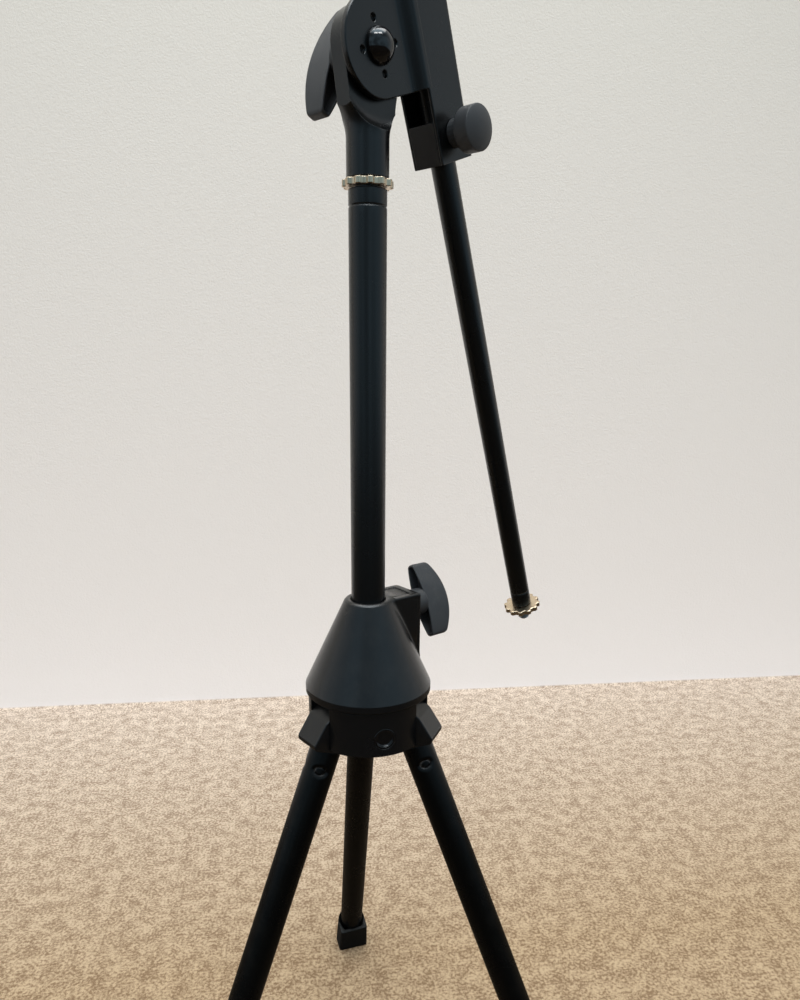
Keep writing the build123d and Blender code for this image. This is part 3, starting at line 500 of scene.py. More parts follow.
def scuff_group() -> bpy.types.NodeTree:
    """Scuffs and dust: thin scratches that run slantwise, and pale specks on faces that look up."""
    group, net = new_group("scuffs_and_dust", {"Scratches": 0.5, "Dust": 0.5},
                           {"Scratch": "NodeSocketFloat", "Dust": "NodeSocketFloat"})
    given = net.add("NodeGroupInput")
    result = net.add("NodeGroupOutput")
    coordinates = net.add("ShaderNodeTexCoord")
    place = coordinates.outputs["Object"]
    masks = []
    for turn, stretch in ((0.7, 26.0), (2.1, 34.0)):
        mapped = net.add("ShaderNodeMapping", {"Vector": place, "Rotation": (0.4, turn, 0.9),
                                               "Scale": (stretch * 40, 30.0, stretch * 30)})
        lines = net.noise(mapped.outputs[0], 1.0, 2.0, 0.6)
        masks.append(net.ramp(lines, 0.70, 0.76))
    patches = net.ramp(net.noise(place, 55.0, 3.0), 0.52, 0.68)
    scratch = net.math("MULTIPLY", net.math("MAXIMUM", masks[0], masks[1]), patches)
    facing = net.add("ShaderNodeSeparateXYZ", {0: coordinates.outputs["Normal"]}).outputs[2]
    upward = net.ramp(facing, 0.15, 0.9)
    specks = net.ramp(net.noise(place, 900.0, 2.0, 0.7), 0.60, 0.72)
    film = net.ramp(net.noise(place, 70.0, 4.0, 0.65), 0.45, 0.75)
    cover = net.math("ADD", net.math("MULTIPLY", specks, 0.7), net.math("MULTIPLY", film, 0.3))
    dust = net.math("MULTIPLY", upward, cover)
    net.feed(result.inputs["Scratch"], net.math("MULTIPLY", scratch, given.outputs["Scratches"], clamp=True))
    net.feed(result.inputs["Dust"], net.math("MULTIPLY", dust, given.outputs["Dust"], clamp=True))
    return group


GROUPS = {"soft_edges": edge_group(), "surface_grain": grain_group(), "scuffs_and_dust": scuff_group()}


def use_group(net: Net, name: str, values: dict[str, float]) -> bpy.types.Node:
    """Places a shared group in a material with its own values."""
    node = net.add("ShaderNodeGroup", node_tree=GROUPS[name])
    for key, value in values.items():
        node.inputs[key].default_value = value
    return node


@dataclass(frozen=True)
class Finish:
    """A finish: base colour with blotches, worn edges that also paint highlight lines, scratches, dust and a
    grain.

    Lengths are in metres and colours are linear.
    """
    name: str
    colour: tuple[float, float, float]
    blotch_colour: tuple[float, float, float]
    edge_wear_and_highlight_colour: tuple[float, float, float]
    scratch_colour: tuple[float, float, float]
    dust_colour: tuple[float, float, float] = (0.30, 0.28, 0.25)
    metallic: float = 0.0
    roughness: tuple[float, float] = (0.36, 0.46)
    specular: float = 0.5
    edge_radius: float = 0.0006
    edge_wear_and_highlight: float = 0.35
    wear_scale: float = 320.0
    scratches: float = 0.35
    dust: float = 0.25
    fineness: float = 1500.0
    pits: float = 0.3
    bump: float = 0.05
    bump_depth: float = 0.00006
    coat: float = 0.0
    coat_roughness: float = 0.1

    def material(self) -> bpy.types.Material:
        """The finish as a Blender material, made once and shared."""
        known = bpy.data.materials.get(self.name)
        if known:
            return known
        material = bpy.data.materials.new(self.name)
        material.use_nodes = True
        material.node_tree.nodes.clear()
        net = Net(material.node_tree)
        shader = net.add("ShaderNodeBsdfPrincipled")
        out = net.add("ShaderNodeOutputMaterial")
        net.tree.links.new(shader.outputs[0], out.inputs[0])
        self._lay_out(net, shader)
        return material

    def _lay_out(self, net: Net, shader: bpy.types.Node) -> None:
        """Joins the groups to the shader."""
        edges = use_group(net, "soft_edges", {"Radius": self.edge_radius})
        grain = use_group(net, "surface_grain", {"Fineness": self.fineness, "Pits": self.pits})
        marks = use_group(net, "scuffs_and_dust", {"Scratches": self.scratches, "Dust": self.dust})
        place = net.add("ShaderNodeTexCoord").outputs["Object"]
        # Edge mask: the lighter edge colour stands for wear and also paints highlight lines along edges.
        rubbed = net.ramp(net.noise(place, self.wear_scale, 3.0, 0.65), 0.42, 0.62)
        worn_and_highlit_edge = net.math("MULTIPLY", edges.outputs["Edge"], rubbed)
        worn_and_highlit_edge = net.math("MULTIPLY", worn_and_highlit_edge, self.edge_wear_and_highlight, clamp=True)
        colour = (*self.colour, 1.0)
        for share, cover in ((grain.outputs["Blotch"], self.blotch_colour), (worn_and_highlit_edge, self.edge_wear_and_highlight_colour),
                             (marks.outputs["Scratch"], self.scratch_colour),
                             (marks.outputs["Dust"], self.dust_colour)):
            colour = net.blend(share, colour, (*cover, 1.0))
        low, high = self.roughness
        rough = net.ramp(grain.outputs["Blotch"], 0.0, 1.0, low, high)
        rough = net.math("ADD", rough, net.math("MULTIPLY", marks.outputs["Dust"], 0.35), clamp=True)
        cuts = net.math("MULTIPLY", marks.outputs["Scratch"], 0.8)
        height = net.math("SUBTRACT", grain.outputs["Height"], cuts)
        bump = net.add("ShaderNodeBump", {"Strength": self.bump, "Distance": self.bump_depth,
                                          "Height": height, "Normal": edges.outputs["Normal"]})
        for key, value in {"Base Color": colour, "Roughness": rough, "Normal": bump.outputs[0],
                           "Metallic": self.metallic, "Specular IOR Level": self.specular,
                           "Coat Weight": self.coat, "Coat Roughness": self.coat_roughness}.items():
            net.feed(shader.inputs[key], value)


FINISHES = {
    # Powder coat: its light edge colour at high edge wear paints bright highlight lines along edges, as well
    # as wear.
    Slot.POWDER_COAT: Finish(
        "satin_powder_coat", (0.0020, 0.0025, 0.0029), (0.0014, 0.0018, 0.0021), (0.090, 0.094, 0.098),
        (0.030, 0.032, 0.034), roughness=(0.24, 0.31), edge_wear_and_highlight=0.75, dust=0.10, bump=0.30, fineness=1300.0),
    Slot.MOULDED_HOUSING: Finish(
        "satin_moulded_black", (0.0045, 0.0048, 0.0054), (0.0033, 0.0036, 0.0042), (0.036, 0.037, 0.039),
        (0.040, 0.040, 0.042), roughness=(0.20, 0.28), edge_wear_and_highlight=0.30, scratches=0.55, dust=0.12,
        fineness=2100.0, pits=0.7, bump=0.4),
    Slot.KNOB_PLASTIC: Finish(
        "textured_matte_black", (0.0220, 0.0250, 0.0295), (0.0170, 0.0195, 0.0230), (0.055, 0.060, 0.066),
        (0.050, 0.050, 0.052), roughness=(0.46, 0.58), edge_wear_and_highlight=0.25, dust=0.30,
        fineness=2600.0, pits=1.0, bump=0.6),
    Slot.DOME_PLASTIC: Finish(
        "gloss_black_cap", (0.0040, 0.0040, 0.0045), (0.0035, 0.0035, 0.0040), (0.012, 0.012, 0.012),
        (0.030, 0.030, 0.031), roughness=(0.06, 0.10), edge_wear_and_highlight=0.1, scratches=0.2, dust=0.05,
        bump=0.02, coat=0.2, coat_roughness=0.04),
    Slot.BUSH_PLASTIC: Finish(
        "dark_bush_plastic", (0.0120, 0.0140, 0.0155), (0.0090, 0.0105, 0.0120), (0.060, 0.062, 0.064),
        (0.060, 0.060, 0.062), roughness=(0.42, 0.56), bump=0.3, fineness=1800.0, pits=0.8),
    Slot.RUBBER: Finish(
        "matte_rubber", (0.0034, 0.0035, 0.0030), (0.0024, 0.0025, 0.0022), (0.030, 0.030, 0.028),
        (0.045, 0.043, 0.040), roughness=(0.58, 0.72), specular=0.35, edge_radius=0.0009, dust=0.22,
        fineness=1700.0, pits=0.9, bump=0.7),
    Slot.NICKEL: Finish(
        "aged_nickel", (0.78, 0.64, 0.47), (0.50, 0.38, 0.26), (0.80, 0.76, 0.68), (0.75, 0.72, 0.66),
        dust_colour=(0.35, 0.30, 0.24), metallic=1.0, roughness=(0.20, 0.38), edge_radius=0.0003,
        edge_wear_and_highlight=0.6, scratches=0.8, dust=0.2, fineness=2400.0, bump=0.5, pits=0.2),
    Slot.ZINC_STEEL: Finish(
        "zinc_plate", (0.46, 0.47, 0.49), (0.36, 0.37, 0.38), (0.62, 0.62, 0.63), (0.60, 0.60, 0.60),
        metallic=1.0, roughness=(0.28, 0.42), edge_radius=0.0003, scratches=0.7, fineness=1900.0, bump=0.4),
    Slot.BRASS: Finish(
        "plain_brass", (0.56, 0.40, 0.17), (0.44, 0.30, 0.13), (0.70, 0.55, 0.28), (0.66, 0.52, 0.27),
        metallic=1.0, roughness=(0.24, 0.40), edge_radius=0.0003, scratches=0.6, fineness=1900.0, bump=0.4),
}
# Painted shade: a darker, less shiny copy of the powder coat for the leg tubes, which wear the same coat as
# the mast but sit in less light.
LEG_COAT_PAINTED_SHADE = replace(FINISHES[Slot.POWDER_COAT], name="leg_coat_painted_shade", colour=(0.0012, 0.0013, 0.0013),
                   blotch_colour=(0.0008, 0.0009, 0.0009), specular=0.22)


# ---------------------------------------------------------------- studio

@dataclass
class Studio:
    """Camera, pale floor with a pale wall behind it, and soft lights.

    Lengths are in metres and angles in degrees.
    """
    eye: tuple[float, float, float] = (-0.0539, -0.4849, 0.608)
    heading: float = 8.9            # from +Y towards +X
    pitch: float = 17.4             # below the horizon
    roll: float = -0.7
    lens: float = 26.88
    shift_up: float = 0.09
    wall_distance: float = 0.793
    wall_turn: float = -1.8
    reach: float = 4.0
    wall_height: float = 2.2
    cove: float = 0.003
    floor_dark: tuple[float, float, float, float] = (0.41, 0.32, 0.25, 1.0)
    floor_pale: tuple[float, float, float, float] = (0.88, 0.78, 0.67, 1.0)
    # Painted shade: this tint darkens the floor towards the camera.
    floor_near_painted_shade: tuple[float, float, float, float] = (0.62, 0.54, 0.41, 1.0)
    wall_low: tuple[float, float, float, float] = (0.85, 0.85, 0.865, 1.0)
    # Painted shade: the wall fades from wall_low up to this darker colour at its top.
    wall_high_painted_shade: tuple[float, float, float, float] = (0.53, 0.545, 0.525, 1.0)
    front_low: float = 0.42
    front_high: float = 0.44
    overhead: float = 3.6
    plain_light: float = 0.95
    tint_front: tuple[float, float, float, float] = (0.62, 0.92, 1.12, 1.0)
    tint_back: tuple[float, float, float, float] = (1.0, 0.99, 0.97, 1.0)
    tint_plain: tuple[float, float, float, float] = (1.0, 0.985, 0.965, 1.0)

    def camera(self) -> None:
        """Camera whose axes come from heading, pitch and roll."""
        heading, pitch, roll = (math.radians(angle) for angle in (self.heading, self.pitch, self.roll))
        level = np.array([math.sin(heading), math.cos(heading), 0.0])
        forward = math.cos(pitch) * level - math.sin(pitch) * UP
        right = np.array([math.cos(heading), -math.sin(heading), 0.0])
        down = -np.cross(right, forward)
        rolled = math.cos(roll) * right + math.sin(roll) * down
        down = math.cos(roll) * down - math.sin(roll) * right
        turn = np.column_stack([rolled, -down, -forward])
        data = bpy.data.cameras.new("camera")
        data.lens = self.lens
        data.sensor_width = 36.0
        data.shift_y = self.shift_up
        data.clip_start, data.clip_end = 0.01, 50.0
        camera = bpy.data.objects.new("camera", data)
        camera.matrix_world = Matrix.Translation(self.eye) @ Matrix(turn.tolist()).to_4x4()
        bpy.context.scene.collection.objects.link(camera)
        bpy.context.scene.camera = camera

    def backdrop(self) -> None:
        """Floor and wall as one sheet: its profile runs level, turns up a small cove and rises."""
        corners = np.array([[-self.reach, 0.0], [self.wall_distance, 0.0],
                            [self.wall_distance, self.wall_height]])
        profile = softened(corners, np.array([0.0, self.cove, 0.0]), steps=9, closed=False, support=0.01)
        across = np.linspace(-self.reach, self.reach, 9)
        turn = math.radians(self.wall_turn)
        x = across[None, :] + 0 * profile[:, :1]
        y = profile[:, :1] + across[None, :] * math.tan(turn)
        grid = np.stack([x, y, profile[:, 1:] + 0 * x], axis=-1)
        rows, columns = grid.shape[:2]
        number = np.arange(rows * columns).reshape(rows, columns)
        quads = np.stack([number[:-1, :-1], number[:-1, 1:], number[1:, 1:], number[1:, :-1]], axis=-1)
        mesh = bpy.data.meshes.new("backdrop")
        mesh.from_pydata(grid.reshape(-1, 3).tolist(), [], quads.reshape(-1, 4).tolist())
        mesh.polygons.foreach_set("use_smooth", np.ones(len(mesh.polygons), bool))
        backdrop = bpy.data.objects.new("backdrop", mesh)
        bpy.context.scene.collection.objects.link(backdrop)
        mesh.materials.append(self._backdrop_material())

    def _backdrop_material(self) -> bpy.types.Material:
        """Pale wall, and a pale floor with a fine pile; seen from behind, the sheet is clear.

        Painted shade: the wall darkens towards its top, the floor darkens towards the camera, and glossy rays
        see the whole floor darker, most of all in front of the stand, as under a flag that shades it.
        """
        material = bpy.data.materials.new("pale_backdrop")
        material.use_nodes = True
        material.node_tree.nodes.clear()
        net = Net(material.node_tree)
        place = net.add("ShaderNodeTexCoord").outputs["Object"]
        axes = net.add("ShaderNodeSeparateXYZ", {0: place})
        rise = net.ramp(axes.outputs[2], 0.001, 0.004)
        pile = net.math("ADD", net.math("MULTIPLY", net.noise(place, 330.0, 3.0, 0.7), 0.7),
                        net.math("MULTIPLY", net.noise(place, 60.0, 3.0, 0.6), 0.3))
        mottled = net.blend(net.ramp(pile, 0.43, 0.57), self.floor_dark, self.floor_pale)
        # Painted shade: the floor is multiplied by a darker tint towards the camera, standing in for light
        # falling off.
        near = net.blend(net.ramp(axes.outputs[1], 0.15, 0.8), self.floor_near_painted_shade, (1.0, 1.0, 1.0, 1.0))
        floor = net.blend(1.0, mottled, near, "MULTIPLY")
        # Painted shade: the wall's colour darkens towards its top.
        wall = net.blend(net.ramp(axes.outputs[2], 0.05, 1.25), self.wall_low, self.wall_high_painted_shade)
        colour = net.blend(rise, floor, wall)
        # Painted shade in reflections: glossy rays see the floor mixed towards near-black, by 0.93 in front
        # of the stand and by 0.8 everywhere on the floor.
        glossy = net.add("ShaderNodeLightPath").outputs["Is Glossy Ray"]
        ahead = net.ramp(axes.outputs[1], -0.02, -0.32)
        shaded = net.math("MULTIPLY", net.math("MULTIPLY", glossy, ahead), 0.93)
        under = net.math("MULTIPLY", glossy, net.math("SUBTRACT", 1.0, rise))
        shaded = net.math("MAXIMUM", shaded, net.math("MULTIPLY", under, 0.8))
        colour = net.blend(shaded, colour, (0.004, 0.004, 0.004, 1.0))
        bump = net.add("ShaderNodeBump", {"Strength": 0.5, "Distance": 0.002, "Height": pile})
        shader = net.add("ShaderNodeBsdfPrincipled", {"Base Color": colour, "Roughness": 0.95,
                                                      "Normal": bump.outputs[0], "Specular IOR Level": 0.1})
        clear = net.add("ShaderNodeBsdfTransparent")
        behind = net.add("ShaderNodeNewGeometry").outputs["Backfacing"]
        mix = net.add("ShaderNodeMixShader", {0: behind, 1: shader.outputs[0], 2: clear.outputs[0]})
        net.add("ShaderNodeOutputMaterial", {"Surface": mix.outputs[0]})
        return material

    def world(self) -> None:
        """Room light, even for matt surfaces; in reflections bright behind, dim and bluish in front."""
        world = bpy.data.worlds.new("room")
        world.use_nodes = True
        world.node_tree.nodes.clear()
        net = Net(world.node_tree)
        toward = net.add("ShaderNodeTexCoord").outputs["Generated"]
        axes = net.add("ShaderNodeSeparateXYZ", {0: toward})
        depth = net.ramp(axes.outputs[1], -0.55, 0.35, 0.0, 0.95)
        side = net.ramp(net.math("ABSOLUTE", axes.outputs[0]), 0.55, 0.98, 0.0, 0.60)
        front = net.ramp(axes.outputs[2], 0.02, 0.62, self.front_low, self.front_high)
        front = net.math("MULTIPLY", front, net.ramp(net.noise(toward, 2.1, 1.0), 0.36, 0.62, 0.55, 1.35))
        overhead = net.ramp(axes.outputs[2], 0.78, 0.95, 0.0, self.overhead)
        sides, ahead = net.math("MAXIMUM", depth, side), net.math("MAXIMUM", front, overhead)
        strength = net.math("MAXIMUM", sides, ahead)
        tint = net.blend(net.ramp(axes.outputs[1], -0.6, 0.3), self.tint_front, self.tint_back)
        path = net.add("ShaderNodeLightPath")
        plain = net.math("MAXIMUM", path.outputs["Is Camera Ray"], path.outputs["Is Diffuse Ray"])
        strength = net.add("ShaderNodeMix", {0: plain, 2: strength, 3: self.plain_light}).outputs[0]
        tint = net.blend(plain, tint, self.tint_plain)
        back = net.add("ShaderNodeBackground", {"Color": tint, "Strength": strength})
        net.add("ShaderNodeOutputWorld", {"Surface": back.outputs[0]})
        bpy.context.scene.world = world

    def light(self, name: str, place: tuple[float, float, float], target: tuple[float, float, float],
              size: tuple[float, float], power: float, colour: tuple[float, float, float]) -> None:
        """Soft rectangular light.

        Args:
            name: name of the light.
            place: where it hangs.
            target: point that it faces.
            size: width and height.
            power: watts.
            colour: linear colour.
        """
        data = bpy.data.lights.new(name, "AREA")
        data.shape = "RECTANGLE"
        data.size, data.size_y = size
        data.energy = power
        data.color = colour
        lamp = bpy.data.objects.new(name, data)
        lamp.location = place
        lamp.rotation_euler = (Vector(target) - Vector(place)).to_track_quat("-Z", "Y").to_euler()
        bpy.context.scene.collection.objects.link(lamp)

    def build(self) -> None:
        """Sets up the whole studio."""
        bpy.context.scene.view_settings.view_transform = "Standard"
        self.camera()
        self.backdrop()
        self.world()
        for name, x, y in (("ceiling_panel_1", -0.25, -0.85), ("ceiling_panel_2", 0.35, -0.8)):
            self.light(name, (x, y, 2.2), (0.0, 0.1, 0.4), (0.5, 0.22), 5.0, (1.0, 0.99, 0.97))
        self.light("ceiling_wash", (0.0, 0.25, 2.1), (0.0, 0.5, 0.0), (1.6, 0.9), 12.0, (1.0, 0.98, 0.96))


# ---------------------------------------------------------------- shared shapes

def tube_profile(low: float, high: float, outer: float, inner: float, rim: float,
                 grooves: tuple[tuple[float, float, float], ...] = (), row_step: float = 12.0) -> np.ndarray:
    """Closed profile of a tube: outside going up with its rolled grooves, over the rim, inside down.

    A groove lowers the radius by depth * cos^2 across its width.

    Args:
        low: lower end.
        high: upper end.
        outer: outside radius.
        inner: inside radius.
        rim: rounding of the ends.
        grooves: height, width and depth of each groove.
        row_step: largest distance between rows on the plain outside.

    Returns:
        Rows of radius and height, the last joining the first.
    """
    corners = np.array([[outer, low], [outer, high], [inner, high], [inner, low]])
    ends = softened(corners, np.full(4, min(rim, (outer - inner) * 0.45)), steps=5)
    side = len(ends) // 4
    heights = [np.linspace(low + 2.0, high - 2.0, max(3, int((high - low) / row_step)))]
    heights += [at + np.linspace(-0.5, 0.5, 13) * width for at, width, _ in grooves]
    rows = np.unique(np.concatenate(heights))
    radius = np.full(len(rows), outer)
    for at, width, depth in grooves:
        fall = depth * np.cos(math.pi * (rows - at) / width) ** 2
        radius = radius - np.where(np.abs(rows - at) < width / 2, fall, 0.0)
    outside = np.stack([radius, rows], axis=-1)
    return np.concatenate([ends[:side], outside, ends[side:]])


def dimpled(grid: np.ndarray, spots: tuple[tuple[float, float], ...], radius: float,
            stretch: float, depth: float) -> np.ndarray:
    """Presses oval dimples into a tube that stands on Z.

    Inside a dimple the radius falls by depth * (1 - d^3), where d is the distance from its
    middle, measured on the tube's surface, over the dimple's radius.

    Args:
        grid: the tube's points.
        spots: heading in degrees and height of each dimple.
        radius: the dimple's half height.
        stretch: its width over its height.
        depth: how deep it is pressed.

    Returns:
        The dented grid.
    """
    reach = np.linalg.norm(grid[..., :2], axis=-1)
    heading = np.arctan2(grid[..., 1], grid[..., 0])
    outer = reach.max()
    fall = np.zeros_like(reach)
    for degrees, height in spots:
        turn = np.angle(np.exp(1j * (heading - math.radians(degrees))))
        away = np.hypot(turn * outer / stretch, grid[..., 2] - height) / radius
        inside = (away < 1) & (reach > outer - 0.3)
        fall += np.where(inside, depth * (1 - np.minimum(away, 1) ** 3), 0.0)
    share = (reach - fall) / np.maximum(reach, 1e-6)
    return np.concatenate([grid[..., :2] * share[..., None], grid[..., 2:]], axis=-1)


def threaded(low: float, high: float, outer: float, pitch: float, depth: float, tip: float,
             columns: int = 64) -> np.ndarray:
    """Right-handed screw thread standing on Z, with a tapered start at its top.

    The radius is outer - depth * t, where t is a rounded triangle wave of height / pitch - angle
    over a full turn; it falls to the root over the last tip millimetres.

    Args:
        low: lower end.
        high: upper end.
        outer: crest radius.
        pitch: rise in one turn.
        depth: crest to root.
        tip: length of the tapered start.
        columns: points around.

    Returns:
        Grid of points.
    """
    rows = max(8, int((high - low) / pitch * 14))
    height = np.linspace(low, high, rows)[:, None]
    angle = np.linspace(0.0, 2 * math.pi, columns, endpoint=False)[None, :]
    phase = height / pitch - angle / (2 * math.pi)
    wave = 0.5 - 0.5 * np.cos(2 * math.pi * phase)
    taper = smoothstep((height - (high - tip)) / tip)
    radius = outer - depth * wave * (1 - taper) - (depth + 0.45 * tip) * taper
    return polar(radius, angle, height)


def arc_fall(along: np.ndarray, half: float, sagitta: float) -> np.ndarray:
    """How far a circular arc of that sagitta over +-half has fallen at a distance from its middle."""
    radius = (half ** 2 + sagitta ** 2) / (2 * sagitta)
    return radius - np.sqrt(np.maximum(radius ** 2 - along ** 2, 0.0))


@dataclass
class WingKnob:
    """Moulded wing on a round hub, hollow on the side that faces the joint.

    In its frame X runs out along the screw and Z along the wing. Seen along X the wing is a lens,
    widest in the middle; seen along Y its inner face is flat and its outer face is bowed.
    """
    node: str
    body: str
    place: Place
    hub_length: float
    width: float = 15.0
    tip_width: float = 5.8
    tip_thickness: float = 14.0
    hub_radius: float = 9.6
    pocket: float = 6.0
    rim: float = 1.7
    edge: float = 1.3
    tip_edge: float = 2.2
    pocket_slope: float = 1.8

    def stations(self, half: float) -> tuple[np.ndarray, np.ndarray]:
        """Places of the sections along Z, and how much each is drawn in at the rounded tips."""
        wall, start = half - self.rim - 0.6, half - self.tip_edge
        ends = start + self.tip_edge * np.sin(np.linspace(0.0, math.pi / 2, 9))
        z = np.sort(np.concatenate([
            -ends[::-1], np.linspace(-wall, -wall + self.pocket_slope, 8),
            np.linspace(-wall + 2.6, wall - 2.6, 37), np.linspace(wall - self.pocket_slope, wall, 8), ends]))
        tip = np.clip(np.abs(z) - start, 0.0, self.tip_edge * 0.999)
        return z, self.tip_edge - np.sqrt(self.tip_edge ** 2 - tip ** 2)

    def wing(self, low: np.ndarray, high: np.ndarray) -> np.ndarray:
        """Grid of the wing: one softened U section at each station.

        The half width is half the full width less the fall of its arc, and the outer face is the
        top less the fall of its own arc. The pocket's floor is flat and rises at both ends.

        Args:
            low: lowest local corner of the CAD knob.
            high: highest local corner.

        Returns:
            Grid of points.
        """
        half = (high[2] - low[2]) / 2
        z, drawn = self.stations(half)
        inside = self.hub_length + 0.55 * drawn
        bow = high[0] - self.hub_length - self.tip_thickness
        outside = high[0] - arc_fall(z, half, bow) - 0.9 * drawn
        side = self.width / 2 - arc_fall(z, half, (self.width - self.tip_width) / 2) - 0.55 * drawn
        opened = smoothstep(np.clip(half - self.rim - np.abs(z), 0.0, None) / self.pocket_slope)
        lip = side - self.rim * 0.85
        floor, floor_half = inside + (0.05 + self.pocket * opened), lip - 0.2 - 0.35 * opened
        corners = np.stack([
            np.stack([outside, -side], -1), np.stack([outside, side], -1),
            np.stack([inside, side], -1), np.stack([inside, lip], -1),
            np.stack([floor, floor_half], -1), np.stack([floor, -floor_half], -1),
            np.stack([inside, -lip], -1), np.stack([inside, -side], -1)], axis=1)
        radii = np.array([self.edge, self.edge, 0.7, 0.5, 0.5, 0.5, 0.5, 0.7])
        return carried(softened(corners, radii, steps=6), z)

    def hub(self) -> np.ndarray:
        """Turned hub with a small step at its foot and a core that ends in the pocket."""
        radius, shoulder, core = self.hub_radius, self.hub_length + 0.3, self.width / 2 - 1.9
        foot, end = radius - 0.6, self.hub_length + self.pocket + 0.6
        corners = np.array([[0.0, 0.0], [foot, 0.0], [foot, 1.6], [radius, 2.1],
                            [radius, shoulder], [core, shoulder], [core, end], [0.0, end]])
        profile = softened(corners, np.array([0, 0.4, 0.2, 0.3, 0.9, 0.3, 0.3, 0]), closed=False)[1:-1]
        return turned(profile, 80)[..., [2, 0, 1]]

    def build(self) -> list[bpy.types.Object]:
        """Makes the wing and its hub."""
        place = self.place.shifted(x=self.place.measure(self.node)[0][0])
        low, high = place.measure(self.node)
        wing = surface_piece(self.node + "_wing", self.wing(low, high), place)
        hub = surface_piece(self.node + "_hub", self.hub(), place)
        finish_piece(wing, self.body, Slot.KNOB_PLASTIC, (self.node,))
        finish_piece(hub, self.body, Slot.KNOB_PLASTIC)
        return [wing, hub]


def lobed_ring(outer: float, root: float, bore: float, thickness: float, lobes: int,
               edge: float = 0.5) -> np.ndarray:
    """Ring nut with rounded lobes, standing on Z = 0.

    The outline's radius is root + (outer - root) * c, where c is a flattened cosine of the angle
    times the number of lobes; the section is a rectangle with rounded edges.

    Args:
        outer: radius over the lobes.
        root: radius between them.
        bore: radius of the hole.
        thickness: height of the ring.
        lobes: how many lobes.
        edge: rounding of the edges.

    Returns:
        Grid whose rows run round the section.
    """
    angle = np.linspace(0.0, 2 * math.pi, lobes * 20, endpoint=False)
    wave = 0.5 + 0.5 * np.tanh(2.2 * np.cos(lobes * angle)) / math.tanh(2.2)
    square = np.array([[0.0, 0.0], [1.0, 0.0], [1.0, 1.0], [0.0, 1.0]])
    section = softened(square * thickness, np.full(4, edge), steps=5)
    share = section[:, 0] / thickness
    rim = root + (outer - root) * wave
    radius = bore + (rim[None, :] - bore) * share[:, None]
    return polar(radius, angle, section[:, 1:])


def closed_ring(outline: np.ndarray, height: np.ndarray) -> np.ndarray:
    """One row of a stack: an outline with a height, or a height for each of its points."""
    column = np.broadcast_to(np.asarray(height, float).reshape(-1, 1), (len(outline), 1))
    return np.concatenate([outline, column], axis=-1)


def rectangle(low_x: float, high_x: float, half_y: float, near_corner: float, far_corner: float,
              steps: int = 7) -> np.ndarray:
    """Rectangle outline with rounded corners, near corners at its low X."""
    corners = np.array([[low_x, -half_y], [high_x, -half_y], [high_x, half_y], [low_x, half_y]])
    return softened(corners, np.array([near_corner, far_corner, far_corner, near_corner]), steps=steps)


# ---------------------------------------------------------------- legs

